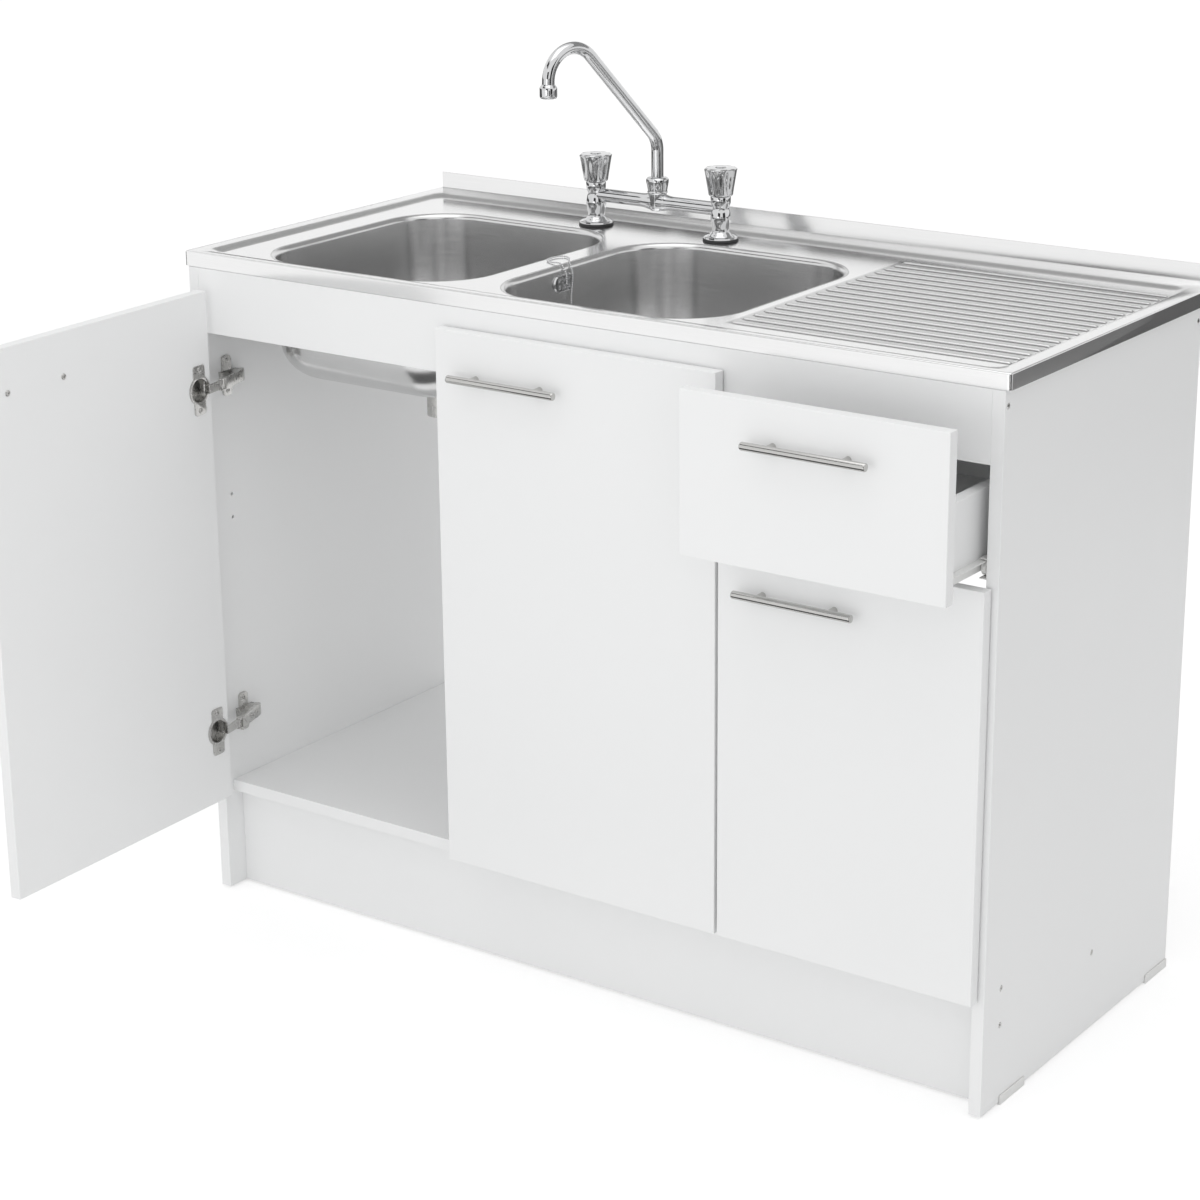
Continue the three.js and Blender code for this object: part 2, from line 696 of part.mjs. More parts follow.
const BAY_X = (PARTITION_RIGHT + SIDE_IN) / 2; // middle of the drawer's bay
const BAY_HALF = (SIDE_IN - PARTITION_RIGHT) / 2;
const DRAWER_HALF = BAY_HALF - DRAWER_SIDE_GAP;
const SIDE_BOTTOM = DRAWER_FRONT_BOTTOM + DRAWER_SIDE_LIFT;
const DRAWER_BACK_Y = FRONTS_BACK + DRAWER_LENGTH;
const RUNNER_TOP = SIDE_BOTTOM + RUNNER_RISE; // top of the drawer profile's flange
const CHANNEL_FLOOR = RUNNER_TOP - RUNNER_SHEET - 2 * ROLLER_RADIUS - 0.8;
const ROLLER_IN = DRAWER_HALF + RUNNER_SHEET + 1.6; // inner side of every roller

function rollerAt(y, z) {
  const wheel = cylinder(ROLLER_RADIUS, [ROLLER_IN, y, z], [ROLLER_IN + ROLLER_WIDTH, y, z], 24);
  const bore = ROLLER_PIN_RADIUS + SEAT_GAP;
  return cut(wheel, cylinder(bore, [ROLLER_IN - 5, y, z], [ROLLER_IN + 15, y, z], 16));
}

// The fixed channel on the carcass with the pin of its front roller, right-hand side.
function cabinetRunner(rollerY, rollerZ) {
  const backX = BAY_HALF - RUNNER_SEAT;
  const faceX = backX - RUNNER_SHEET;
  const flangeX = DRAWER_HALF + RUNNER_SHEET + 1.3;
  const top = RUNNER_TOP + 1.5 + RUNNER_SHEET;
  const channel = prism([
    [flangeX, CHANNEL_FLOOR - RUNNER_SHEET],
    [backX, CHANNEL_FLOOR - RUNNER_SHEET],
    [backX, top],
    [flangeX, top],
    [flangeX, top - RUNNER_SHEET],
    [faceX, top - RUNNER_SHEET],
    [faceX, CHANNEL_FLOOR],
    [flangeX, CHANNEL_FLOOR],
  ], FRONT + 2, FRONT + 2 + DRAWER_LENGTH, "y");
  const pin = cylinder(
    ROLLER_PIN_RADIUS,
    [ROLLER_IN - 0.4, rollerY, rollerZ],
    [faceX + 0.5, rollerY, rollerZ],
    16,
  );
  return join(channel, pin);
}

// The profile under the drawer side with the pin of its rear roller, right-hand side.
function drawerRunner(rollerY, rollerZ) {
  const leafOut = DRAWER_HALF + RUNNER_SHEET;
  const profile = prism([
    [DRAWER_HALF - DRAWER_BOARD, SIDE_BOTTOM - RUNNER_SHEET],
    [leafOut, SIDE_BOTTOM - RUNNER_SHEET],
    [leafOut, RUNNER_TOP - RUNNER_SHEET],
    [DRAWER_HALF + RUNNER_FLANGE, RUNNER_TOP - RUNNER_SHEET],
    [DRAWER_HALF + RUNNER_FLANGE, RUNNER_TOP],
    [DRAWER_HALF, RUNNER_TOP],
    [DRAWER_HALF, SIDE_BOTTOM],
    [DRAWER_HALF - DRAWER_BOARD, SIDE_BOTTOM],
  ], FRONTS_BACK, DRAWER_BACK_Y, "y");
  const pinEnd = ROLLER_IN + ROLLER_WIDTH + 0.4;
  const pin = cylinder(
    ROLLER_PIN_RADIUS,
    [leafOut - 0.5, rollerY, rollerZ],
    [pinEnd, rollerY, rollerZ],
    16,
  );
  return join(profile, pin);
}

function addDrawer() {
  const fixed = group(unit, BAY_X);
  const moving = group(unit, BAY_X, -DRAWER_PULL);

  const frontHalf = BAY_HALF + DRAWER_FRONT_OVERLAP;
  const front = box(
    -frontHalf,
    frontHalf,
    FRONTS_BACK - FRONT_THICK,
    FRONTS_BACK,
    DRAWER_FRONT_BOTTOM,
    FRONT_TOP,
  );
  add(moving, "drawer_front", front, melamine());
  const handle = barHandle(0, FRONTS_BACK - FRONT_THICK, FRONT_TOP - DRAWER_HANDLE_FROM_TOP);
  add(moving, "drawer_handle", handle, nickel());

  const inner = DRAWER_HALF - DRAWER_BOARD;
  const sideTop = SIDE_BOTTOM + DRAWER_SIDE_HEIGHT;
  const side = (x) => box(x, x + DRAWER_BOARD, FRONTS_BACK, DRAWER_BACK_Y, SIDE_BOTTOM, sideTop);
  add(moving, "drawer_left_side", side(-DRAWER_HALF), melamine());
  add(moving, "drawer_right_side", side(inner), melamine());
  const backY = DRAWER_BACK_Y - DRAWER_BOARD;
  const back = box(-inner, inner, backY, DRAWER_BACK_Y, SIDE_BOTTOM, sideTop);
  add(moving, "drawer_back", back, melamine());
  const bottomZ = SIDE_BOTTOM + DRAWER_BOTTOM_LIFT;
  const bottom = box(-inner, inner, FRONTS_BACK, backY, bottomZ, bottomZ + DRAWER_BOTTOM_THICK);
  add(moving, "drawer_bottom", bottom, melamine());

  const frontRollerY = FRONT + 2 + ROLLER_END_SETBACK;
  const frontRollerZ = RUNNER_TOP - RUNNER_SHEET - SEAT_GAP - ROLLER_RADIUS;
  const rearRollerY = DRAWER_BACK_Y - ROLLER_END_SETBACK;
  const rearRollerZ = CHANNEL_FLOOR + SEAT_GAP + ROLLER_RADIUS;
  for (const [name, mirror] of [["left", -1], ["right", 1]]) {
    const [still, sliding] = [group(fixed), group(moving)];
    still.scale.x = mirror;
    sliding.scale.x = mirror;
    const rail = cabinetRunner(frontRollerY, frontRollerZ);
    add(still, `cabinet_${name}_runner`, rail, paintedSteel());
    add(still, `${name}_front_roller`, rollerAt(frontRollerY, frontRollerZ), whitePlastic());
    const slider = drawerRunner(rearRollerY, rearRollerZ);
    add(sliding, `drawer_${name}_runner`, slider, paintedSteel());
    add(sliding, `${name}_rear_roller`, rollerAt(rearRollerY, rearRollerZ), whitePlastic());
  }
}

// ---------------------------------------------------------------------- the sink top

// The outline of a bowl at so much outset from its straight upper wall.
function bowlOutline(x, outset) {
  const [halfX, halfY] = [BOWL_LENGTH / 2 + outset, BOWL_WIDTH / 2 + outset];
  const corner = BOWL_CORNER + outset;
  return roundedRect(x - halfX, x + halfX, BOWL_Y - halfY, BOWL_Y + halfY, corner);
}

// [outset, depth below the recess floor] from the rolled rim down to the bowl's floor.
function bowlProfile(grow) {
  const profile = [];
  const rim = BOWL_RIM_RADIUS - grow;
  for (let i = 0; i <= 3; i++) {
    const angle = (Math.PI / 6) * i;
    const outset = BOWL_RIM_RADIUS - rim * Math.sin(angle);
    profile.push([outset, BOWL_RIM_RADIUS - rim * Math.cos(angle)]);
  }
  const turn = BOWL_FLOOR_RADIUS;
  for (let i = 0; i <= 5; i++) {
    const angle = WALL_SLOPE + ((Math.PI / 2 - WALL_SLOPE) * i) / 5;
    const outset = -BOWL_DRAFT - turn + (turn + grow) * Math.cos(angle);
    profile.push([outset, BOWL_DEPTH - turn + (turn + grow) * Math.sin(angle)]);
  }
  return profile;
}

function bowl(x) {
  const ring = ([outset, depth]) =>
    bowlOutline(x, outset).map(([u, v]) => [u, v, RECESS_FLOOR - depth]);
  const inside = bowlProfile(0).reverse().map(ring);
  const outside = bowlProfile(SHEET).map(ring);
  const floor = RECESS_FLOOR - BOWL_DEPTH - BOWL_FALL;
  const r = WASTE_RADIUS;
  const round = roundedRect(x - r, x + r, BOWL_Y - r, BOWL_Y + r, r);
  const low = round.map(([u, v]) => [u, v, floor]);
  const lowUnder = round.map(([u, v]) => [u, v, floor - SHEET]);
  const shell = loft([low, ...inside, ...outside, lowUnder]);
  const waste = revolve([
    [0, floor + 0.8],
    [WASTE_RADIUS - 6, floor + 0.8],
    [WASTE_RADIUS - 3, floor + 2],
    [WASTE_RADIUS, floor + 1],
    [WASTE_RADIUS, floor - SHEET - 4],
    [WASTE_RADIUS - 6, floor - SHEET - 6],
    [WASTE_RADIUS - 9, floor - 26],
    [22, floor - 30],
    [22, floor - 64],
    [18, floor - 64],
    [18, floor - 34],
    [0, floor - 34],
  ], x, BOWL_Y);
  return join(shell, waste);
}

// The pressed top: flat rim, sunk field with two bowl openings and the drainer's ribs.
function sinkDeck() {
  const outline = (inset, radius) =>
    roundedRect(-HALF_LENGTH + inset, HALF_LENGTH - inset, FRONT + inset, BACK - inset, radius, 2);
  const field = (grow) => {
    const rimEdge = [-HALF_LENGTH + 20, HALF_LENGTH - 20, FRONT + 14, BACK - 30];
    const floorEdge = [-HALF_LENGTH + 38, HALF_LENGTH - 26, FRONT + 20, BACK - 60];
    const ring = ([x0, x1, y0, y1], radius, z) =>
      roundedRect(x0 - grow, x1 + grow, y0 - grow, y1 + grow, radius, 4).map(([x, y]) => [x, y, z]);
    return (low, high) => {
      const lift = DECK_HEIGHT - grow;
      const base = RECESS_FLOOR - grow;
      return loft([
        ...(low < base ? [ring(floorEdge, 10, low)] : []),
        ring(floorEdge, 10, base),
        ring(rimEdge, 14, lift),
        ring(rimEdge, 14, high),
      ]);
    };
  };
  const under = RECESS_FLOOR - SHEET;
  const openings = [LEFT_BOWL_X, RIGHT_BOWL_X].map((x) =>
    bowlOutline(x, BOWL_RIM_RADIUS + SEAT_GAP),
  );
  const blank = prism(outline(0, 3), under, DECK_HEIGHT, "z");
  const sunkTop = field(0)(RECESS_FLOOR, DECK_HEIGHT + 1);
  const keptBelow = field(SHEET)(under - 1, DECK_HEIGHT);
  const hollowBelow = cut(
    prism(outline(SHEET, 2), under - 1, DECK_HEIGHT - SHEET, "z"),
    keptBelow,
  );
  const holes = openings.map((hole) => prism(hole, under - 5, DECK_HEIGHT, "z"));
  const pan = cut(blank, sunkTop, hollowBelow, ...holes);

  // Fascia and its return lip run along the front and both ends
  const band = (inset, radius, z0, z1) => {
    const ring = cut(
      prism(outline(0, 3), z0, z1, "z"),
      prism(outline(inset, radius), z0 - 1, z1 + 1, "z"),
    );
    const behind = box(
      -HALF_LENGTH + inset,
      HALF_LENGTH - inset,
      BACK - inset - 5,
      BACK + 1,
      z0 - 1,
      z1 + 1,
    );
    return cut(ring, behind);
  };
  const fascia = band(SHEET, 2, PANEL_TOP, DECK_HEIGHT - SHEET / 2);
  const lip = band(FASCIA_LIP, 1, PANEL_TOP, PANEL_TOP + SHEET);
  const upstand = box(
    -HALF_LENGTH,
    HALF_LENGTH,
    BACK - SHEET,
    BACK,
    DECK_HEIGHT - SHEET,
    DECK_HEIGHT + UPSTAND_HEIGHT,
  );
  return join(pan, fascia, lip, upstand, ...drainerRibs());
}

// Low round-topped ribs along X, from the right bowl to the drainer's far end.
function drainerRibs() {
  const start = RIGHT_BOWL_X + BOWL_LENGTH / 2 + RIB_BOWL_GAP;
  const ribs = [];
  for (let i = 0; i < RIB_COUNT; i++) {
    const y = FRONT + RIB_FRONT_SETBACK + i * RIB_PITCH;
    const section = [];
    for (let k = 0; k <= 4; k++) {
      const angle = (Math.PI * k) / 4;
      const across = y + (RIB_WIDTH / 2) * Math.cos(angle);
      section.push([across, RECESS_FLOOR + RIB_HEIGHT * Math.sin(angle)]);
    }
    section.push([y - RIB_WIDTH / 2, RECESS_FLOOR - SHEET / 2]);
    section.push([y + RIB_WIDTH / 2, RECESS_FLOOR - SHEET / 2]);
    ribs.push(prism(section, start, HALF_LENGTH - RIB_END_SETBACK, "x"));
  }
  return ribs;
}

// ------------------------------------------------------ overflow, chain and plug

const LEFT_WALL_X = RIGHT_BOWL_X - BOWL_LENGTH / 2; // left wall of the right bowl
const wallAt = (drop) => LEFT_WALL_X + (drop - BOWL_RIM_RADIUS) * Math.tan(WALL_SLOPE);

function addOverflow() {
  const ring = (inset, z) => {
    const [u, v] = [OVERFLOW_HEIGHT / 2 - inset, OVERFLOW_LENGTH / 2 - inset];
    return roundedRect(-u, u, -v, v, u - 0.5, 5).map(([x, y]) => [x, y, z]);
  };
  const face = loft([ring(0, 0), ring(0, 1), ring(1.5, OVERFLOW_THICK)]);
  const slots = [-10, 0, 10].map((v) => box(-6, 6, v - 1.5, v + 1.5, 1, 9));
  const plate = cut(face, ...slots);
  // Its face looks along +X and leans back with the bowl's wall
  plate.rotateY(Math.PI / 2 - WALL_SLOPE);
  const seat = wallAt(OVERFLOW_DROP) + SEAT_GAP;
  const mesh = add(unit, "overflow_rosette", plate, chrome());
  mesh.position.set(seat, OVERFLOW_Y, RECESS_FLOOR - OVERFLOW_DROP);
}

function addChainAndPlug() {
  const lie = CHAIN_RADIUS + SEAT_GAP;
  const ridgeZ = RECESS_FLOOR + lie;
  const edge = LEFT_WALL_X - BOWL_RIM_RADIUS;
  const floor = RECESS_FLOOR - BOWL_DEPTH;
  const plugX = LEFT_WALL_X + 76;
  const plugY = OVERFLOW_Y + 26;
  const plugTop = floor + SEAT_GAP + PLUG_HEIGHT;
  const hang = (drop, y, extra = 0) => [wallAt(drop) + lie + 1 + extra, y, RECESS_FLOOR - drop];
  const path = [
    hang(OVERFLOW_DROP, OVERFLOW_Y, OVERFLOW_THICK + 1),
    hang(13, OVERFLOW_Y + 1, 3.2),
    hang(4, OVERFLOW_Y + 2, -1.4),
    [edge + 1, OVERFLOW_Y + 3, ridgeZ + 0.4],
    [edge - 13, OVERFLOW_Y + 4, ridgeZ],
    [edge - 26, OVERFLOW_Y + 13, ridgeZ],
    [edge - 29, OVERFLOW_Y + 29, ridgeZ],
    [edge - 24, OVERFLOW_Y + 42, ridgeZ],
    [edge - 13, OVERFLOW_Y + 40, ridgeZ],
    [edge - 3, OVERFLOW_Y + 28, ridgeZ],
    [edge + 2, OVERFLOW_Y + 21, ridgeZ + 0.3],
    hang(4, OVERFLOW_Y + 17, -1.4),
    hang(13, OVERFLOW_Y + 14, 3.2),
    hang(26, OVERFLOW_Y + 12, OVERFLOW_THICK + 1),
    hang(45, OVERFLOW_Y + 11, 2),
    hang(80, OVERFLOW_Y + 13, 2),
    hang(118, OVERFLOW_Y + 18, 8),
    [plugX - 12, plugY, plugTop + 14],
    [plugX, plugY, plugTop + 5],
  ];
  add(unit, "plug_chain", tube(path, CHAIN_RADIUS, 6, 84), chrome());

  const plug = revolve([
    [0, 0],
    [PLUG_RADIUS - 3, 0],
    [PLUG_RADIUS - 1, PLUG_HEIGHT - 4],
    [PLUG_RADIUS, PLUG_HEIGHT - 3],
    [PLUG_RADIUS, PLUG_HEIGHT],
    [4, PLUG_HEIGHT],
    [2.5, PLUG_HEIGHT + 3],
    [0, PLUG_HEIGHT + 3.4],
  ]);
  const mesh = add(unit, "plug", plug, darkRubber());
  mesh.position.set(plugX, plugY, floor + SEAT_GAP);
}

// ------------------------------------------------------------------------- the tap

function addTap() {
  const tap = group(unit, TAP_X, TAP_Y, RECESS_FLOOR);
  const pillar = (x) => revolve([
    [0, 0],
    [TAP_FLANGE_RADIUS + 1, 0],
    [TAP_FLANGE_RADIUS + 1, 2.5],
    [TAP_FLANGE_RADIUS, 3],
    [TAP_FLANGE_RADIUS, 5.5],
    [TAP_FLANGE_RADIUS - 3, 8],
    [PILLAR_RADIUS + 2, 9.5],
    [PILLAR_RADIUS - 1, 12],
    [PILLAR_RADIUS, 20],
    [PILLAR_RADIUS + 1, 30],
    [PILLAR_RADIUS - 1, 42],
    [PILLAR_RADIUS + 0.5, 47],
    [PILLAR_RADIUS + 0.5, PILLAR_HEIGHT],
    [SPINDLE_RADIUS, PILLAR_HEIGHT],
    [SPINDLE_RADIUS, PILLAR_HEIGHT + 12],
    [0, PILLAR_HEIGHT + 12],
  ], x, 0);
  const half = TAP_CENTRES / 2;
  const bridge = cylinder(BRIDGE_RADIUS, [-half, 0, BRIDGE_HEIGHT], [half, 0, BRIDGE_HEIGHT]);
  const hub = revolve([
    [0, BRIDGE_HEIGHT - 11],
    [HUB_RADIUS - 3, BRIDGE_HEIGHT - 11],
    [HUB_RADIUS, BRIDGE_HEIGHT - 7],
    [HUB_RADIUS, HUB_TOP - NUT_HEIGHT - 1],
    [NUT_RADIUS, HUB_TOP - NUT_HEIGHT],
    [NUT_RADIUS, HUB_TOP - 2],
    [NUT_RADIUS - 2, HUB_TOP],
    [SPOUT_RADIUS + SEAT_GAP, HUB_TOP],
    [SPOUT_RADIUS + SEAT_GAP, HUB_TOP - SPOUT_SEAT - SEAT_GAP],
    [0, HUB_TOP - SPOUT_SEAT - SEAT_GAP],
  ]);
  add(tap, "tap_body", join(pillar(-half), pillar(half), bridge, hub), chrome());

  for (const [name, x] of [["left", -half], ["right", half]]) {
    const knob = add(tap, `${name}_tap_handle`, tapKnob(), chrome());
    knob.position.set(x, 0, PILLAR_HEIGHT + SEAT_GAP);
  }
  const spout = add(tap, "spout", spoutBody(), chrome());
  spout.rotation.z = THREE.MathUtils.degToRad(SPOUT_HEADING);
}

// A fluted knob that widens upwards, with a small index cap, bored for the spindle.
function tapKnob() {
  const ring = (radius, z, flute) => {
    const points = [];
    for (let i = 0; i < KNOB_FLUTES * 4; i++) {
      const angle = (2 * Math.PI * i) / (KNOB_FLUTES * 4);
      const reach = radius * (1 - flute * (0.5 - 0.5 * Math.cos(KNOB_FLUTES * angle)));
      points.push([reach * Math.cos(angle), reach * Math.sin(angle), z]);
    }
    return points;
  };
  const body = loft([
    ring(KNOB_BASE_RADIUS - 1.5, 0, 0),
    ring(KNOB_BASE_RADIUS, 2, 0.03),
    ring(KNOB_TOP_RADIUS - 1, KNOB_HEIGHT - 8, 0.15),
    ring(KNOB_TOP_RADIUS, KNOB_HEIGHT - 4, 0.13),
    ring(KNOB_TOP_RADIUS - 4, KNOB_HEIGHT - 1, 0.04),
    ring(7, KNOB_HEIGHT - 1, 0),
    ring(7, KNOB_HEIGHT, 0),
    ring(6, KNOB_HEIGHT + 0.8, 0),
  ]);
  const bore = cylinder(SPINDLE_RADIUS + SEAT_GAP, [0, 0, -2], [0, 0, 13]);
  return cut(body, bore);
}

// The swan-neck tube, built in the XZ plane above its swivel axis.
function spoutBody() {
  const slope = THREE.MathUtils.degToRad(SPOUT_SLOPE);
  const arch = [SPOUT_REACH - SPOUT_ARCH_RADIUS, SPOUT_ARCH_HEIGHT];
  const arc = (centre, radius, from, to, count) => {
    const points = [];
    for (let i = 0; i <= count; i++) {
      const angle = from + ((to - from) * i) / count;
      points.push([
        centre[0] + radius * Math.cos(angle),
        0,
        centre[1] + radius * Math.sin(angle),
      ]);
    }
    return points;
  };
  // Where the sloping run, tangent to the arch, would meet the swivel axis
  const touch = [
    arch[0] - SPOUT_ARCH_RADIUS * Math.sin(slope),
    arch[1] + SPOUT_ARCH_RADIUS * Math.cos(slope),
  ];
  const corner = touch[1] - touch[0] * Math.tan(slope);
  const bendStart = corner - SPOUT_BEND_RADIUS * Math.tan((Math.PI / 2 - slope) / 2);
  const bend = arc(
    [SPOUT_BEND_RADIUS, bendStart],
    SPOUT_BEND_RADIUS,
    Math.PI,
    Math.PI / 2 + slope,
    4,
  );
  const crown = arc(arch, SPOUT_ARCH_RADIUS, Math.PI / 2 + slope, 0, 9);
  const outletZ = SPOUT_ARCH_HEIGHT - SPOUT_OUTLET_DROP;
  const foot = HUB_TOP - SPOUT_SEAT;
  const path = [
    [0, 0, foot],
    [0, 0, (foot + bendStart) / 2],
    ...bend,
    ...crown,
    [SPOUT_REACH, 0, outletZ + 2],
  ];
  const neck = tube(path, SPOUT_RADIUS, 14, 32);
  const aerator = revolve([
    [0, outletZ],
    [AERATOR_RADIUS - 3, outletZ],
    [AERATOR_RADIUS - 3, outletZ - 1.5],
    [AERATOR_RADIUS - 0.8, outletZ - 1.5],
    [AERATOR_RADIUS, outletZ],
    [AERATOR_RADIUS, outletZ + AERATOR_HEIGHT - 6],
    [SPOUT_RADIUS + 1, outletZ + AERATOR_HEIGHT - 3],
    [SPOUT_RADIUS - 1, outletZ + AERATOR_HEIGHT - 3],
    [0, outletZ + AERATOR_HEIGHT - 3],
  ], SPOUT_REACH, 0);
  return join(neck, aerator);
}

addCarcass();
addFeet();
addDoors();
addDrawer();
add(unit, "sink_deck", sinkDeck(), brushedSteel());
add(unit, "left_bowl", bowl(LEFT_BOWL_X), brushedSteel());
add(unit, "right_bowl", bowl(RIGHT_BOWL_X), brushedSteel());
addOverflow();
addChainAndPlug();
addTap();

export default unit;
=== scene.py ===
# %% [markdown]
# # A kitchen sink unit, finished in Blender
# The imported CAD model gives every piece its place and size. This lesson loads it, puts the
# camera where the photographer stood, gives each piece a finish, and makes the pieces whose
# curves catch the light: the pressed steel top, the bowls, the tap and the handles.

import json
import math

import bmesh
import bpy
from mathutils import Matrix, Vector

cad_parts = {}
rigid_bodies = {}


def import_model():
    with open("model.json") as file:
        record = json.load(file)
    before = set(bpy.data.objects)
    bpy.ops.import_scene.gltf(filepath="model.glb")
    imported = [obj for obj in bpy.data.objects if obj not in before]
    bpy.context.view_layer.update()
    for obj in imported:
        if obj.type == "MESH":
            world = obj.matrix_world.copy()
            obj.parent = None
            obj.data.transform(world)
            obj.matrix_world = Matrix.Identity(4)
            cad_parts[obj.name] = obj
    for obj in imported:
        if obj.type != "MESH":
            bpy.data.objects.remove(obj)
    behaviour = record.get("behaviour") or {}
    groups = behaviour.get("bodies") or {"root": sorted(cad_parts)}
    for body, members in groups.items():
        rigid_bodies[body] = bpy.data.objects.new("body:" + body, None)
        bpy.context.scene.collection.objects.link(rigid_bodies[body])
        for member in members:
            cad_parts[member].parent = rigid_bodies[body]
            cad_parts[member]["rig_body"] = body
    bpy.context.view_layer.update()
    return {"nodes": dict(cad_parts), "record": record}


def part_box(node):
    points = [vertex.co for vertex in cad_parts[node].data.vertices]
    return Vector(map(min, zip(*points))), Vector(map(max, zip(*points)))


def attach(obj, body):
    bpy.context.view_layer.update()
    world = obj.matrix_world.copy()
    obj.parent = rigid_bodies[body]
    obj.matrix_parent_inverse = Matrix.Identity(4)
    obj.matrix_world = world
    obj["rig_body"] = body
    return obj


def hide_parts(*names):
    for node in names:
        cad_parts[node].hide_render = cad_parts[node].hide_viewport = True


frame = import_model()
nodes = frame["nodes"]
MM = 0.001

# %% [markdown]
# ## The camera
# A camera can be aimed by an empty and a constraint, or placed by numbers. Numbers are used
# here, because they come from fitting the unit's straight edges to the photograph's, and
# they say plainly where the lens is, which way it looks and how long it is.

# %% Camera
CAMERA_PLACE = (2.0082, -2.9942, 1.6557)
CAMERA_TURN = 35.62  # degrees round the unit, from straight in front
CAMERA_TILT = 18.42  # degrees down
CAMERA_ROLL = -0.57
FOCAL_PIXELS = 2921.6  # for an image 1200 pixels wide
SENSOR = 36.0

lens = bpy.data.cameras.new("camera")
lens.sensor_width = SENSOR
lens.lens = FOCAL_PIXELS * SENSOR / 1200
camera = bpy.data.objects.new("camera", lens)
camera.location = CAMERA_PLACE
heading = Matrix.Rotation(math.radians(CAMERA_TURN), 4, "Z")
tilt = Matrix.Rotation(math.radians(90 - CAMERA_TILT), 4, "X")
roll = Matrix.Rotation(math.radians(CAMERA_ROLL), 4, "Z")
camera.rotation_euler = (heading @ tilt @ roll).to_euler()
bpy.context.scene.collection.objects.link(camera)
bpy.context.scene.camera = camera
print("lens of", round(lens.lens, 1), "mm")

# %% [markdown]
# ## Writing shaders as sums
# A material is a graph of nodes. Wiring maths nodes by hand hides the formula, so a small
# class wraps one output and turns +, - and * into Math nodes. Every node is made by one
# method, which takes its type, its settings and what goes into its sockets.

# %% Shader helpers
class Value:
    """One output of a node, which can be used in sums."""

    def __init__(self, graph, socket):
        self.graph, self.socket = graph, socket

    def maths(self, operation, *terms):
        inputs = dict(enumerate(terms))
        return self.graph.node("ShaderNodeMath", {"operation": operation}, inputs)

    def __add__(self, other):
        return self.maths("ADD", self, other)

    def __sub__(self, other):
        return self.maths("SUBTRACT", self, other)

    def __rsub__(self, other):
        return self.maths("SUBTRACT", other, self)

    def __mul__(self, other):
        return self.maths("MULTIPLY", self, other)

    __radd__, __rmul__ = __add__, __mul__

    def between(self, low, high):
        """0 below low, 1 above high, and a smooth step between them."""
        step = {"interpolation_type": "SMOOTHSTEP"}
        return self.graph.node("ShaderNodeMapRange", step, {0: self, 1: low, 2: high})


class Graph:
    """A tree of nodes, which all come from one method."""

    def __init__(self, tree):
        self.tree = tree

    def node(self, kind, settings=None, inputs=None, out=0):
        made = self.tree.nodes.new(kind)
        for key, value in (settings or {}).items():
            setattr(made, key, value)
        for key, value in (inputs or {}).items():
            self.plug(made.inputs[key], value)
        return Value(self, made.outputs[out])

    def plug(self, socket, value):
        if isinstance(value, Value):
            self.tree.links.new(value.socket, socket)
        else:
            socket.default_value = value

    def seen(self):
        """1 for a ray from the camera, a mirror or glass, and 0 for any other."""
        kinds = ("Is Camera Ray", "Is Glossy Ray", "Is Transmission Ray")
        camera_ray, mirror_ray, glass_ray = (
            self.node("ShaderNodeLightPath", out=kind) for kind in kinds
        )
        return camera_ray + mirror_ray + glass_ray


class Finish(Graph):
    """A material built round one Principled shader."""

    def __init__(self, name, **constants):
        self.material = bpy.data.materials.new(name)
        self.material.use_nodes = True
        super().__init__(self.material.node_tree)
        self.shader = self.tree.nodes["Principled BSDF"]
        self.set(**constants)
        self.place = self.node("ShaderNodeTexCoord", out="Object")

    def set(self, **sockets):
        for key, value in sockets.items():
            self.plug(self.shader.inputs[key.replace("_", " ").title()], value)

    def noise(self, scale, detail=3.0, stretch=(1, 1, 1), roughness=0.5):
        """Noise of so many bumps a metre, drawn out where stretch is small."""
        at = self.node("ShaderNodeMapping", None, {"Vector": self.place, "Scale": stretch})
        settings = {"Vector": at, "Scale": scale, "Detail": detail, "Roughness": roughness}
        return self.node("ShaderNodeTexNoise", None, settings)

    def mix(self, factor, first, second):
        """Two colours mixed; each is three numbers or the output of a node."""
        inputs = {0: factor}
        for socket, colour in ((6, first), (7, second)):  # a Mix node's two colours
            inputs[socket] = colour if isinstance(colour, Value) else (*colour, 1)
        return self.node("ShaderNodeMix", {"data_type": "RGBA"}, inputs, out=2)

    def bump(self, height, strength, distance):
        inputs = {"Height": height, "Strength": strength, "Distance": distance}
        self.set(normal=self.node("ShaderNodeBump", None, inputs))


# %% [markdown]
# ## White melamine board
# The doors, panels and drawer are chipboard faced with white melamine. It could be plain
# white, but a real sheet has a faint pearl texture that breaks up its sheen, and it is
# never quite the same white all over. Two scales of noise give both.

# %% Board finish
board = Finish("white_melamine", metallic=0.0)
cloud = board.noise(2.2, 2.0)
pearl = board.noise(900.0, 2.0)
board.set(base_color=board.mix(cloud, (0.862, 0.868, 0.87), (0.89, 0.893, 0.893)))
board.set(roughness=pearl * 0.12 + 0.36)
board.bump(pearl, 0.08, 0.0002)
print("board finish ready")

# %% [markdown]
# ## Stainless steel
# The top is brushed along its length, and the bowls are brushed level round their walls.
# An anisotropic shader would do it, but that setting is lost in an export. So the brushing
# is noise drawn out many times along its lines, which changes the roughness, the colour
# and the bump a little.

# %% Steel finishes
def steel(name, stretch, shade, rough, depth):
    made = Finish(name, metallic=1.0)
    lines = made.noise(700.0, 4.0, stretch, 0.65)
    cloud = made.noise(5.0, 3.0)
    dark, light = shade
    tone = made.mix(lines * 0.7 + cloud * 0.3, (dark,) * 3, (light,) * 3)
    made.set(base_color=tone, roughness=lines * 0.08 + cloud * 0.06 + rough)
    made.bump(lines, depth, 0.0002)
    return made, tone


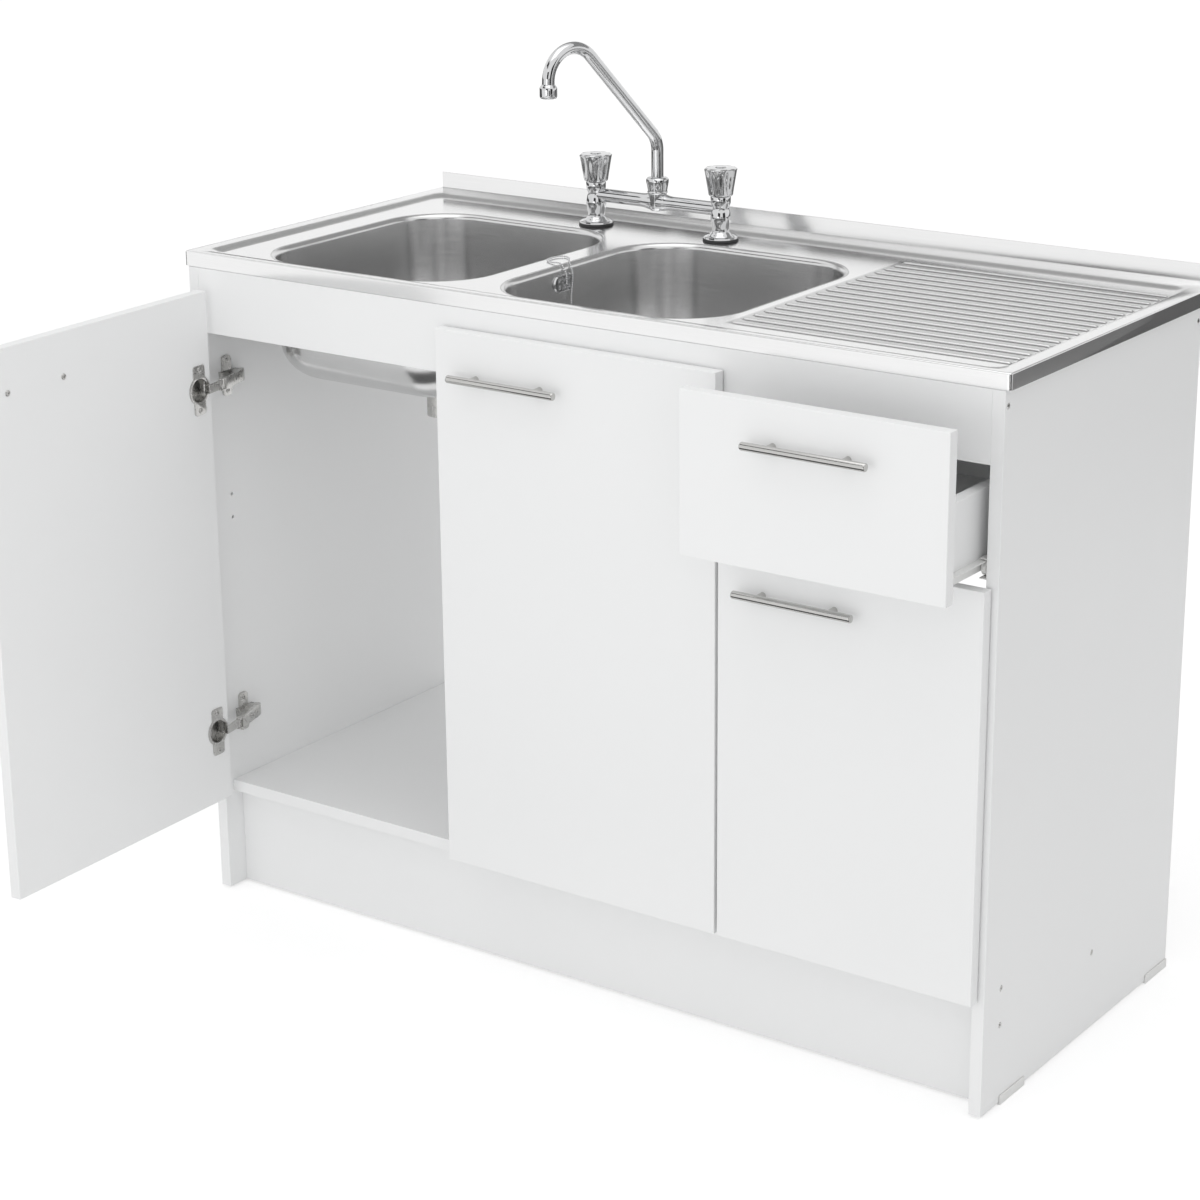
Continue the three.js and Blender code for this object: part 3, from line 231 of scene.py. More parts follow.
brushed, brushed_tone = steel("brushed_steel", (0.012, 1, 1), (0.8, 0.91), 0.1, 0.03)
drawn, _ = steel("drawn_bowl_steel", (0.03, 0.03, 1), (0.6, 0.8), 0.15, 0.08)
print("steels ready")

# %% [markdown]
# ## Painted shade in the drainer's valleys
# The sheet between the ribs is painted a darker grey than the polished crests: this is
# painted shade in the valleys. The finish knows the valleys by their place: inside the
# drainer's rectangle and below the ribs' shoulders.

# %% Drainer valleys
DRAINER = (0.200, 0.573, -0.224, 0.190)  # x from, to, y from, to
VALLEY_TOP, CREST = 0.8915, 0.8924
EDGE = 0.006  # how far the painted shade takes to fade
across, along, up = (
    brushed.node("ShaderNodeSeparateXYZ", None, {0: brushed.place}, out=axis)
    for axis in range(3)
)
inside = across.between(DRAINER[0], DRAINER[0] + EDGE)
inside = inside * (1 - across.between(DRAINER[1] - EDGE, DRAINER[1]))
inside = inside * along.between(DRAINER[2], DRAINER[2] + EDGE)
inside = inside * (1 - along.between(DRAINER[3] - EDGE, DRAINER[3]))
# The valleys' darker grey, with its grain, is painted shade laid on the steel's colour.
valley_shade_mask = inside * (1 - up.between(VALLEY_TOP, CREST))
valley_shade_grain = brushed.noise(160.0, 5.0, (0.3, 1, 1))
painted_valley_shade = brushed.mix(valley_shade_grain, (0.46,) * 3, (0.62,) * 3)
brushed.set(base_color=brushed.mix(valley_shade_mask, brushed_tone, painted_valley_shade))
print("drainer valleys from x", DRAINER[0], "to", DRAINER[1])

# %% [markdown]
# ## Chrome, nickel, plastic, paint and rubber
# Chrome is a mirror with faint smears. The handles and hinges are satin nickel, a warmer
# and duller metal. The feet and rollers are moulded plastic, the runners powder coated,
# and the plug is rubber with a bloom on it. Each gets its own noise at its own scale.

# %% Other finishes
chrome = Finish("polished_chrome", metallic=1.0)
smear = chrome.noise(60.0, 4.0)
chrome.set(base_color=chrome.mix(smear, (0.6, 0.605, 0.61), (0.69, 0.692, 0.7)))
chrome.set(roughness=smear.between(0.45, 0.8) * 0.08 + 0.045)

nickel = Finish("satin_nickel", metallic=1.0)
grain = nickel.noise(1500.0, 3.0, (0.02, 1, 1))
nickel.set(base_color=nickel.mix(grain, (0.48, 0.476, 0.464), (0.64, 0.635, 0.622)))
nickel.set(roughness=grain * 0.08 + 0.1)
nickel.bump(grain, 0.05, 0.0001)

plated = Finish("plated_steel", metallic=1.0)
patch = plated.noise(120.0, 3.0)
plated.set(base_color=plated.mix(patch, (0.5, 0.5, 0.49), (0.68, 0.67, 0.65)))
plated.set(roughness=patch * 0.16 + 0.2)

plastic = Finish("moulded_white_plastic", metallic=0.0)
spark = plastic.noise(1400.0, 2.0)
tint = plastic.noise(20.0, 2.0)
plastic.set(base_color=plastic.mix(tint, (0.8, 0.8, 0.79), (0.85, 0.85, 0.84)))
plastic.set(roughness=spark * 0.1 + 0.45)
plastic.bump(spark, 0.1, 0.0001)

paint = Finish("powder_coat", metallic=0.0)
peel = paint.noise(500.0, 2.0)
paint.set(base_color=paint.mix(paint.noise(15.0), (0.76, 0.76, 0.75), (0.82, 0.82, 0.81)))
paint.set(roughness=peel * 0.15 + 0.32)
paint.bump(peel, 0.15, 0.0002)

rubber = Finish("dark_rubber", metallic=0.0)
bloom = rubber.noise(90.0, 4.0)
rubber.set(base_color=rubber.mix(bloom, (0.012, 0.012, 0.013), (0.05, 0.05, 0.052)))
rubber.set(roughness=bloom * 0.3 + 0.5)
rubber.bump(bloom, 0.2, 0.0002)
print(len(bpy.data.materials), "materials so far")

# %% [markdown]
# ## Every CAD node gets its finish
# A node whose shape is already right only needs a better material. The record names a slot
# for each node, so one table from slot to finish dresses them all.

# %% Dress the CAD nodes
FINISH_OF_SLOT = {
    "white_board": board,
    "white_plastic": plastic,
    "sink_steel": brushed,
    "polished_chrome": chrome,
    "black_rubber": rubber,
    "satin_nickel": plated,
    "painted_runner": paint,
}
slot_of = {p["node"]: p["material_slot"] for p in frame["record"]["subparts"]}


def dress(piece, finish):
    piece.data.materials.clear()
    piece.data.materials.append(finish.material)


for name, node in nodes.items():
    dress(node, FINISH_OF_SLOT[slot_of[name]])
print("dressed", len(nodes), "nodes")

# %% [markdown]
# ## Making a piece
# Every new piece is a bmesh turned into an object at the origin that rides on a CAD body.
# Faces are smooth and edges over a given angle are marked sharp, which shades a curve as
# round without softening a corner.

# %% Piece helpers
SHARP_ANGLE = 32
FLAT_ANGLE, CORNER_ANGLE = 0.4, 50  # below the one, faces merge; above the other, a bevel
WELD = 1e-6  # vertices nearer than this are one


def finished(mesh, name, body, slot, finish, replaces=(), sharp=SHARP_ANGLE, wall=0.0):
    for face in mesh.faces:
        face.smooth = sharp > 0
    for edge in mesh.edges:
        edge.smooth = edge.calc_face_angle(0) < math.radians(max(sharp, 1))
    data = bpy.data.meshes.new(name)
    mesh.to_mesh(data)
    mesh.free()
    if data.attributes.get("custom_normal"):
        data.attributes.remove(data.attributes["custom_normal"])
    made = bpy.data.objects.new(name, data)
    bpy.context.scene.collection.objects.link(made)
    if wall:
        thick = made.modifiers.new("wall", "SOLIDIFY")
        thick.thickness, thick.offset = wall, -1
    dress(made, finish)
    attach(made, body)
    if replaces:
        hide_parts(*replaces)
    return made


def closed_piece(mesh, *settings, **more):
    bmesh.ops.recalc_face_normals(mesh, faces=mesh.faces)
    return finished(mesh, *settings, **more)


def open_piece(mesh, *settings, **more):
    """A skin seen from above: most of its area must look up before it gets its wall."""
    bmesh.ops.recalc_face_normals(mesh, faces=mesh.faces)
    if sum(face.normal.z * face.calc_area() for face in mesh.faces) < 0:
        bmesh.ops.reverse_faces(mesh, faces=mesh.faces)
    return finished(mesh, *settings, **more)


def body_of(node):
    return nodes[node]["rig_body"]


def eased(node, width, segments=2, sharp=0):
    """A copy of a CAD node with its edges rounded over, which stands for it."""
    mesh = bmesh.new()
    mesh.from_mesh(nodes[node].data)
    bmesh.ops.remove_doubles(mesh, verts=mesh.verts, dist=WELD)
    bmesh.ops.dissolve_limit(
        mesh, angle_limit=math.radians(FLAT_ANGLE), verts=mesh.verts, edges=mesh.edges
    )
    corners = [e for e in mesh.edges if e.calc_face_angle(0) > math.radians(CORNER_ANGLE)]
    bmesh.ops.bevel(
        mesh, geom=corners, offset=width, offset_type="OFFSET", segments=segments,
        profile=0.5, affect="EDGES", material=-1, clamp_overlap=True,
    )
    slot = slot_of[node]
    name, finish = node + "_eased", FINISH_OF_SLOT[slot]
    return finished(mesh, name, body_of(node), slot, finish, [node], sharp)


# %% [markdown]
# ## Boards with eased edges
# A sawn board could stay a sharp box, but edging tape is trimmed to a small radius, and it
# is that radius that draws a light line along every door. Each board is copied from its
# CAD node, its flat faces are merged, and its edges get a bevel of about half a millimetre.

# %% Boards
FACE_BOARDS = ["left_door", "middle_door", "right_door", "drawer_front"]
CASE_BOARDS = [
    "left_side_panel", "right_side_panel", "partition", "bottom_panel", "plinth",
    "floor_rail", "front_top_rail", "rear_top_rail", "drawer_left_side",
    "drawer_right_side", "drawer_back", "drawer_bottom",
]
for name in FACE_BOARDS:
    eased(name, 1.0 * MM, 3)
for name in CASE_BOARDS:
    eased(name, 0.5 * MM)
print("eased", len(FACE_BOARDS + CASE_BOARDS), "boards")

# %% [markdown]
# ## Hinges, runners and feet
# These are stampings and mouldings whose CAD shapes are right. Their copies get a very
# small bevel, so that the edges of the metal glint as bent sheet does.

# %% Small hardware
DOORS = ["left_door", "middle_door", "right_door"]
for door in DOORS:
    for place in ("upper", "lower"):
        for part in ("cup", "arm", "link"):
            eased(f"{door}_{place}_{part}", 0.25 * MM, 2, 40)
for side in ("left", "right"):
    eased(f"cabinet_{side}_runner", 0.2 * MM, 1, 40)
    eased(f"drawer_{side}_runner", 0.2 * MM, 1, 40)
    for end in ("front", "rear"):
        eased(f"foot_{side}_{end}", 0.5 * MM, 2, 40)
        eased(f"{side}_{end}_roller", 0.4 * MM, 2, 40)
eased("overflow_rosette", 0.35 * MM, 2, 40)
print("eased the hinges, runners, rollers, feet and the overflow's plate")

# %% [markdown]
# ## Shapes that are used again
# An outline with rounded corners is a face with a vertex bevel, and bridging one outline
# to the next makes a skin. A turned part is a profile spun about its axis and then aimed.

# %% Outline and spin helpers
CORNER_STEPS = 14


def outline(mesh, x0, x1, y0, y1, radius, z):
    """The edges of a level rectangle with rounded corners, given in mm."""
    spots = ((x0, y0), (x1, y0), (x1, y1), (x0, y1))
    corners = [mesh.verts.new(Vector((x, y, z)) * MM) for x, y in spots]
    mesh.faces.new(corners)
    made = bmesh.ops.bevel(
        mesh, geom=corners, offset=radius * MM, offset_type="OFFSET",
        segments=CORNER_STEPS, profile=0.5, affect="VERTICES", material=-1,
    )
    face = max((f for v in made["verts"] for f in v.link_faces), key=lambda f: len(f.verts))
    edges = list(face.edges)
    bmesh.ops.delete(mesh, geom=[face], context="FACES_ONLY")
    return edges


def skin(mesh, loops):
    """Quads between each loop and the next.

    The loops are lifted well apart while they are bridged, because the operator can
    cross over between two level loops of which one lies inside the other.
    """
    rings = [{v for edge in loop for v in edge.verts} for loop in loops]
    for level, verts in enumerate(rings):
        bmesh.ops.translate(mesh, verts=list(verts), vec=(0, 0, level))
    for first, second in zip(loops, loops[1:]):
        bmesh.ops.bridge_loops(mesh, edges=first + second)
    for level, verts in enumerate(rings):
        bmesh.ops.translate(mesh, verts=list(verts), vec=(0, 0, -level))


def circle(mesh, points, radius):
    """The vertices of a level circle round the origin, its radius given in mm."""
    return bmesh.ops.create_circle(mesh, segments=points, radius=radius * MM)["verts"]


def edges_of(ring):
    return list({edge for vert in ring for edge in vert.link_edges})


def cap_ends(mesh, loops):
    for loop in (loops[0], loops[-1]):
        bmesh.ops.contextual_create(mesh, geom=loop)


def turned(mesh, profile, place, along=(0, 0, 1), steps=48):
    """A solid of revolution: [radius, height] pairs in mm, with its axis aimed along."""
    verts = [mesh.verts.new(Vector((radius, 0, height)) * MM) for radius, height in profile]
    edges = [mesh.edges.new(pair) for pair in zip(verts, verts[1:])]
    before = set(mesh.verts) - set(verts)
    bmesh.ops.spin(
        mesh, geom=verts + edges, cent=(0, 0, 0), axis=(0, 0, 1), angle=2 * math.pi,
        steps=steps, use_merge=True,
    )
    made = [v for v in mesh.verts if v not in before]
    bmesh.ops.remove_doubles(mesh, verts=made, dist=WELD)
    made = [v for v in mesh.verts if v not in before]
    turn = Vector((0, 0, 1)).rotation_difference(Vector(along)).to_matrix().to_4x4()
    bmesh.ops.transform(mesh, matrix=Matrix.Translation(place) @ turn, verts=made)
    return made


def through(points, steps):
    """Points on a smooth (Catmull-Rom) curve through the given ones."""
    points = [Vector(point) for point in points]
    ends = [2 * points[0] - points[1], *points, 2 * points[-1] - points[-2]]
    curve = []
    for a, b, c, d in zip(ends, ends[1:], ends[2:], ends[3:]):
        for step in range(steps):
            t = step / steps
            curve.append(
                0.5 * (2 * b + t * (c - a) + t * t * (2 * a - 5 * b + 4 * c - d)
                       + t ** 3 * (3 * b - a - 3 * c + d))
            )
    return curve + [points[-1]]


# %% [markdown]
# ## The pressed top
# The real top is one sheet: a flat rim, a sunk field with two holes for the bowls, and a
# fascia folded down in front and at both ends. It could be carved from a block, but a
# sheet is easier to make as a skin: outlines at each height, bridged one to the next, and
# the field filled round the holes. A solidify step then gives the steel its thickness.

# %% Sizes of the top
HALF_LENGTH, FRONT, BACK = 600, -270, 270
DECK, FIELD, FASCIA_FOOT = 895, 891, 875
SHEET = 1.2
BOWL_X = {"left": -353, "right": 20}
BOWL_Y, BOWL_HALF_X, BOWL_HALF_Y, BOWL_CORNER = -51, 163, 187, 82
RIM_RADIUS = 7
FOLD = 1.8  # radius of the sheet's bend into the fascia
LIP = 12
STRIP = 1.5  # flat edging round the field, which keeps its shading level


def bowl_outline(mesh, x, outset, z):
    half_x, half_y = BOWL_HALF_X + outset, BOWL_HALF_Y + outset
    corner = BOWL_CORNER + outset
    return outline(
        mesh, x - half_x, x + half_x, BOWL_Y - half_y, BOWL_Y + half_y, corner, z
    )


# %% [markdown]
# ## The drainer's ribs
# Eighteen round-topped ribs are pressed up beside the right bowl. They could be separate
# bars laid on the steel, but a pressed rib flows out of the sheet, so the drainer is one
# grid whose rows are drawn together at each rib and lifted by a smooth hump.

# %% Drainer
RIB_COUNT, RIB_PITCH, FIRST_RIB = 18, 23.3, -215
RIB_REACH, RIB_HEIGHT = 4.0, 1.9  # half the width of the hump, and how high it stands
RIB_FULLNESS = 0.8  # below 1 the hump has a broader back than a cosine
RIB_START, RIB_END = 208, 572.2
GRID_START, GRID_END = 200, 572.6
ROWS = [-11.65, -7.0, -4.6, -3.9, -3.1, -2.2, -1.1, 0, 1.1, 2.2, 3.1, 3.9, 4.6, 7.0]
LEFT_COLUMNS = [0, 4, 8, 8.6, 9.6, 10.8, 12.2, 13.8, 18]  # crowded where a rib ends
RIGHT_COLUMNS = [9, 5.4, 3.8, 2.5, 1.4, 0.5, 0]
MIDDLE_COLUMNS = [300, 400, 500]


def drainer(mesh):
    columns = [GRID_START + c for c in LEFT_COLUMNS] + MIDDLE_COLUMNS
    columns += [GRID_END - c for c in RIGHT_COLUMNS]
    rows = [FIRST_RIB + RIB_PITCH * k + row for k in range(RIB_COUNT) for row in ROWS]
    rows.append(FIRST_RIB + RIB_PITCH * (RIB_COUNT - 0.5))
    grid = bmesh.ops.create_grid(
        mesh, x_segments=len(columns) - 1, y_segments=len(rows) - 1, size=0.5
    )["verts"]
    for vert in grid:
        x = columns[round((vert.co.x + 0.5) * (len(columns) - 1))]
        y = rows[round((vert.co.y + 0.5) * (len(rows) - 1))]
        rib = round((y - FIRST_RIB) / RIB_PITCH)
        across = y - FIRST_RIB - RIB_PITCH * min(max(rib, 0), RIB_COUNT - 1)
        before = max(0, RIB_START + RIB_REACH - x, x - RIB_END + RIB_REACH)
        off = min(1, math.hypot(across, before) / RIB_REACH)
        lift = RIB_HEIGHT * (0.5 + 0.5 * math.cos(math.pi * off)) ** RIB_FULLNESS
        vert.co = Vector((x, y, FIELD + lift)) * MM
    faces = {face for vert in grid for face in vert.link_faces}
    return [edge for face in faces for edge in face.edges if edge.is_boundary]


# %% [markdown]
# ## The top's skin
# The outlines run from the fascia's lip, up the fascia, round the fold, across the flat
# rim and down a soft step into the field. The step is a smooth curve, not a ramp, since
# it is pressed: its foot and its shoulder are what show as lines in the reflections.

# %% Pressed top
# x from, to, y from, to, of the rim's inner edge and of the sunk field
RIM_EDGE = (20 - HALF_LENGTH, HALF_LENGTH - 20, FRONT + 14, BACK - 30)
FIELD_EDGE = (38 - HALF_LENGTH, HALF_LENGTH - 26, FRONT + 20, BACK - 60)
RIM_CORNER, FIELD_CORNER = 20, 16  # radii of those two outlines
STEP_SHARES = [0.0, 0.04, 0.1, 0.2, 0.35, 0.5, 0.65, 0.8, 0.9, 0.96, 1.0]
SWAGE = 0.06  # how far the step bulges from a plain ramp
FOLD_CORNER, HEM, FOLD_STEPS = 4, 0.8, 5


def pressed_top():
    mesh = bmesh.new()

    def outer(inset, radius, z):
        x, y0, y1 = HALF_LENGTH - inset, FRONT + inset, BACK - inset
        return outline(mesh, -x, x, y0, y1, radius, z)

    loops = [outer(LIP, 1, FASCIA_FOOT), outer(HEM, FOLD_CORNER - HEM, FASCIA_FOOT)]
    loops.append(outer(0, FOLD_CORNER, FASCIA_FOOT + HEM))
    for step in range(FOLD_STEPS + 1):
        angle = math.radians(90 / FOLD_STEPS * step)
        inset = FOLD * (1 - math.cos(angle))
        height = DECK - FOLD + FOLD * math.sin(angle)
        loops.append(outer(inset, FOLD_CORNER - inset, height))
    for share in STEP_SHARES:
        sides = [a + (b - a) * share for a, b in zip(RIM_EDGE, FIELD_EDGE)]
        drop = (DECK - FIELD) * (share - SWAGE * math.sin(math.tau * share))
        corner = RIM_CORNER - (RIM_CORNER - FIELD_CORNER) * share
        loops.append(outline(mesh, *sides, corner, DECK - drop))
    inside = [side + way * STRIP for side, way in zip(FIELD_EDGE, (1, -1, 1, -1))]
    loops.append(outline(mesh, *inside, FIELD_CORNER - STRIP, FIELD))
    skin(mesh, loops)
    edges = list(loops[-1]) + drainer(mesh)
    for x in BOWL_X.values():
        hole = bowl_outline(mesh, x, RIM_RADIUS, FIELD)
        edging = bowl_outline(mesh, x, RIM_RADIUS + STRIP, FIELD)
        skin(mesh, [hole, edging])
        edges += edging
    bmesh.ops.triangle_fill(mesh, edges=edges, use_beauty=True)
    # There is no fascia along the back, where the upstand rises
    behind = [
        f for f in mesh.faces
        if f.calc_center_median().y > (BACK - LIP - 0.1) * MM
        and f.calc_center_median().z < (DECK - FOLD) * MM
    ]
    bmesh.ops.delete(mesh, geom=behind, context="FACES")
    return mesh


top = open_piece(
    pressed_top(), "pressed_top", "carcass", "sink_steel", brushed, ["sink_deck"],
    wall=SHEET * MM,
)
print("pressed top of", len(top.data.polygons), "faces")

# %% [markdown]
# ## The upstand
# A narrow strip stands along the back to keep water off the wall. It is a separate folded
# strip here, with a hem rolled over its upper edge, which catches a thin bright line.

# %% Upstand
UPSTAND_TOP = 916.5
# places from the back edge and heights above the deck, round the folded strip
UPSTAND_FOOT = [(-SHEET, 1.2), (-SHEET - 1.2, 0.05), (-SHEET - 1.2, -1.1)]
UPSTAND_HEM = [(0, -0.55), (-0.2, -0.16), (-0.55, 0), (0.2 - SHEET, -0.16), (-SHEET, -0.55)]


def upstand():
    mesh = bmesh.new()
    section = [(0, DECK - 1.1)] + [(y, UPSTAND_TOP + z) for y, z in UPSTAND_HEM]
    section += [(y, DECK + z) for y, z in UPSTAND_FOOT]
    spots = [(-HALF_LENGTH, BACK + y, z) for y, z in section]
    face = mesh.faces.new([mesh.verts.new(Vector(spot) * MM) for spot in spots])
    made = bmesh.ops.extrude_face_region(mesh, geom=[face])["geom"]
    far = [item for item in made if isinstance(item, bmesh.types.BMVert)]
    bmesh.ops.translate(mesh, verts=far, vec=(2 * HALF_LENGTH * MM, 0, 0))
    return mesh


closed_piece(upstand(), "upstand", "carcass", "sink_steel", brushed, sharp=50)
print("upstand", UPSTAND_TOP - DECK, "mm high")

# %% [markdown]
# ## The bowls
# Each bowl is drawn deep from sheet: a rolled rim, nearly upright walls, a wide radius
# into a floor that falls to the waste. Outlines at each depth are bridged and the skin
# gets its wall outward, so that the underside seen through the open door is right too.

# %% Bowls
BOWL_DEPTH, BOWL_DRAFT, FLOOR_RADIUS, BOWL_FALL, WASTE_RADIUS = 160, 2, 50, 3, 35
RIM_STEPS, FLOOR_STEPS = 7, 10
# half length, half width, corner and fall of the floor's outlines on the way to the waste
FLOOR_OUTLINES = ((80, 92, 50, 0.9), (50, 52, 46, 2.2))


def basin(x):
    mesh = bmesh.new()
    loops = []
    for step in range(RIM_STEPS + 1):
        angle = math.radians(90 * step / RIM_STEPS)
        outset = RIM_RADIUS * (1 - math.sin(angle))
        drop = RIM_RADIUS * (1 - math.cos(angle))
        loops.append(bowl_outline(mesh, x, outset, FIELD - drop))
    for step in range(FLOOR_STEPS + 1):
        angle = math.radians(1 + 89 * step / FLOOR_STEPS)
        outset = -BOWL_DRAFT - FLOOR_RADIUS * (1 - math.cos(angle))
        depth = BOWL_DEPTH - FLOOR_RADIUS * (1 - math.sin(angle))
        loops.append(bowl_outline(mesh, x, outset, FIELD - depth))
    floor = FIELD - BOWL_DEPTH
    for half_x, half_y, radius, fall in FLOOR_OUTLINES:
        sides = (x - half_x, x + half_x, BOWL_Y - half_y, BOWL_Y + half_y)
        loops.append(outline(mesh, *sides, radius, floor - fall))
    r = WASTE_RADIUS - 1
    sides = (x - r, x + r, BOWL_Y - r, BOWL_Y + r)
    loops.append(outline(mesh, *sides, r - 0.1, floor - BOWL_FALL))  # all but round
    skin(mesh, loops)
    return mesh


for side, x in BOWL_X.items():
    open_piece(
        basin(x), f"{side}_basin", "carcass", "sink_steel", drawn, [f"{side}_bowl"],
        wall=SHEET * MM,
    )
print("two bowls", 2 * BOWL_HALF_X, "by", 2 * BOWL_HALF_Y, "by", BOWL_DEPTH, "mm")

# %% [markdown]
# ## The wastes
# A turned flange sits in each bowl's floor, with a slotted strainer in the middle and a
# tail below. The slots are made by picking two faces in four round the middle of the
# turned disc, insetting them and pushing them down.

# %% Wastes
STRAINER = [(0, -1.4), (6, -1.4), (9, -1.3), (22, -0.4), (26, 0.4)]
FLANGE = [(30, 1.7), (33, 2), (35.5, 1.6), (36.5, 0.5), (36.5, -0.8)]
TAIL = [(35, -1.4), (35, -5), (29, -7.2), (26, -26), (22, -30), (22, -64), (18, -64)]
TAIL += [(18, -34), (0, -34)]
WASTE_STEPS, SLOT_INNER, SLOT_OUTER, SLOT_EDGE, SLOT_DEPTH = 48, 9, 22, 0.7, 4


def waste(x):
    mesh = bmesh.new()
    floor = FIELD - BOWL_DEPTH - BOWL_FALL
    at = Vector((x, BOWL_Y, floor)) * MM
    turned(mesh, STRAINER + FLANGE + TAIL, at, steps=WASTE_STEPS)
    centre = Vector((x, BOWL_Y)) * MM
    slots = []
    for face in mesh.faces:
        middle = face.calc_center_median()
        reach = (middle.xy - centre).length / MM
        turn = math.atan2(middle.y - centre.y, middle.x - centre.x) / math.tau
        sector = int((turn + 1) * WASTE_STEPS)
        in_ring = SLOT_INNER < reach < SLOT_OUTER and middle.z > (floor - 3) * MM
        if in_ring and sector % 4 < 2:
            slots.append(face)
    walls = bmesh.ops.inset_region(mesh, faces=slots, thickness=SLOT_EDGE * MM)["faces"]
    sunk = list({v for f in slots for v in f.verts})
    bmesh.ops.translate(mesh, verts=sunk, vec=(0, 0, -SLOT_DEPTH * MM))
    print(len(walls), "faces round the strainer's slots")
    return mesh


for side, x in BOWL_X.items():
    closed_piece(waste(x), f"{side}_waste", "carcass", "sink_steel", plated)

# %% [markdown]
# ## The tap
# Two pillars stand through the steel, a bridge joins them, and a nut holds the spout on
# the hub between them. All of it is turned work, so each part is a profile and a spin.
# The waists and bulges matter more than anything else, because chrome shows only what it
# bends: a straight cylinder would reflect in straight bands.

# %% Tap body
SIDES = ((-1, "left"), (1, "right"))
TAP = Vector((-163.5, 177, FIELD))
TAP_HALF, BRIDGE_UP = 100, 41
PILLAR_FOOT = [(0, 2.6), (21.4, 2.6), (22.4, 3.3), (22.6, 4.4), (22, 5.5), (20.6, 6.1)]
PILLAR_FOOT += [(18.6, 6.2), (17, 5.9), (16.2, 6.3), (15.2, 7.2), (14.5, 8.3)]
PILLAR_WAIST = [(13.6, 9.6), (11.4, 12.5), (11.4, 17), (12.9, 24), (13.6, 31), (12.4, 38)]
PILLAR_WAIST += [(10.8, 43), (12.2, 47), (13.1, 50)]
PILLAR_HEAD = [(13.3, 57.6), (12.7, 58.8), (5, 59), (5, 66.6), (4.4, 67), (0, 67)]
ARM = [(0, 2), (9, 2), (9, 74), (9.4, 80), (10.6, 86), (11.4, 90), (11.4, 100), (0, 100)]
HUB = [(0, 28.5), (5, 28.7), (9, 29.8), (11.2, 32.5), (12.1, 36), (12, 42), (11.8, 49)]
HUB += [(12.2, 52), (13.2, 53.2), (13.4, 54.4), (12.9, 55.4)]
NUT = [(13, 57), (13.9, 62), (14.9, 67.5), (15, 70), (14.6, 71.6), (13.4, 72.6)]
NUT += [(12.9, 73.6), (12, 74), (8.3, 74), (8.3, 59.7), (0, 59.7)]
# A black rubber gasket under each pillar's flange; its black also stands in for the shadow
# there, as painted shade.
GASKET_AND_SHADE = [(12, 0.05), (23, 0.05), (23.5, 0.6), (23.4, 2.2), (22.4, 2.7), (12, 2.7)]
PILLAR_STEPS, ARM_STEPS = 56, 40


def on_tap(side, up):
    """A place above the sink on one of the tap's two pillars, in metres."""
    return (TAP + Vector((side * TAP_HALF, 0, up))) * MM


def tap_body():
    mesh = bmesh.new()
    waist = [tuple(point) for point in through(PILLAR_WAIST, 3)]
    pillar = PILLAR_FOOT + waist + PILLAR_HEAD
    for side in (-1, 1):
        turned(mesh, pillar, on_tap(side, 0), steps=PILLAR_STEPS)
        turned(mesh, ARM, on_tap(side, BRIDGE_UP), along=(-side, 0, 0), steps=ARM_STEPS)
    turned(mesh, HUB + NUT, TAP * MM, steps=PILLAR_STEPS)
    return mesh


closed_piece(tap_body(), "tap_bridge", "carcass", "polished_chrome", chrome, ["tap_body"])
for side, name in SIDES:
    mesh = bmesh.new()
    # Each black ring is a rubber gasket and painted shade under the flange.
    turned(mesh, GASKET_AND_SHADE + GASKET_AND_SHADE[:1], on_tap(side, 0))
    closed_piece(mesh, f"{name}_tap_gasket", "carcass", "black_rubber", rubber)
print("tap body and its gaskets")

# %% [markdown]
# ## The knobs
# The knobs widen upwards and have eight hollow flutes, so that wet fingers can turn them.
# A knob starts as circles of 96 points. Each circle's points are drawn in where a flute
# runs, most in the middle of the knob's height, and the circles are bridged.

# %% Knobs
FLUTES, KNOB_POINTS, KNOB_FOOT = 8, 96, 59.6
FLUTE_FULLNESS = 0.75  # below 1 the flutes are broader than the lobes between them
KNOB_RINGS = [
    # radius, height, depth of the flutes as a share of the radius
    (5.3, 9, 0), (5.3, 0, 0), (14.2, 0, 0), (15.6, 0.4, 0), (16.2, 1.4, 0.01),
    (16.6, 3, 0.04), (17.6, 9, 0.09), (18.8, 16, 0.125), (20.0, 23, 0.135),
    (21.0, 29, 0.125), (21.7, 32.5, 0.09), (22.0, 34, 0.06), (21.7, 35, 0.035),
    (20.4, 35.8, 0.015), (17, 36.2, 0.005), (12, 36.4, 0), (7.6, 36.4, 0),
    (7.2, 36.5, 0), (7.1, 37.1, 0), (6.6, 37.4, 0), (5, 37.5, 0),
]


def knob(side):
    mesh = bmesh.new()
    loops = []
    for radius, height, depth in KNOB_RINGS:
        ring = circle(mesh, KNOB_POINTS, radius)
        for vert in ring:
            angle = math.atan2(vert.co.y, vert.co.x)
            flute = (0.5 - 0.5 * math.cos(FLUTES * angle)) ** FLUTE_FULLNESS
            vert.co *= 1 - depth * flute
            vert.co.z = height * MM
        loops.append(edges_of(ring))
    skin(mesh, loops)
    cap_ends(mesh, loops)
    bmesh.ops.translate(mesh, verts=mesh.verts, vec=on_tap(side, KNOB_FOOT))
    return mesh


for side, name in SIDES:
    node = f"{name}_tap_handle"
    body = body_of(node)
    closed_piece(knob(side), f"{name}_knob", body, "polished_chrome", chrome, [node])
print("two knobs of", FLUTES, "flutes")

# %% [markdown]
# ## The spout
# The spout is one bent tube, so it is a circle carried along a path: straight up, a bend,
# a sloping run and the crown down to the outlet. The path is worked out in the spout's
# own plane from two arcs and their common tangent, then the plane is swung into place.

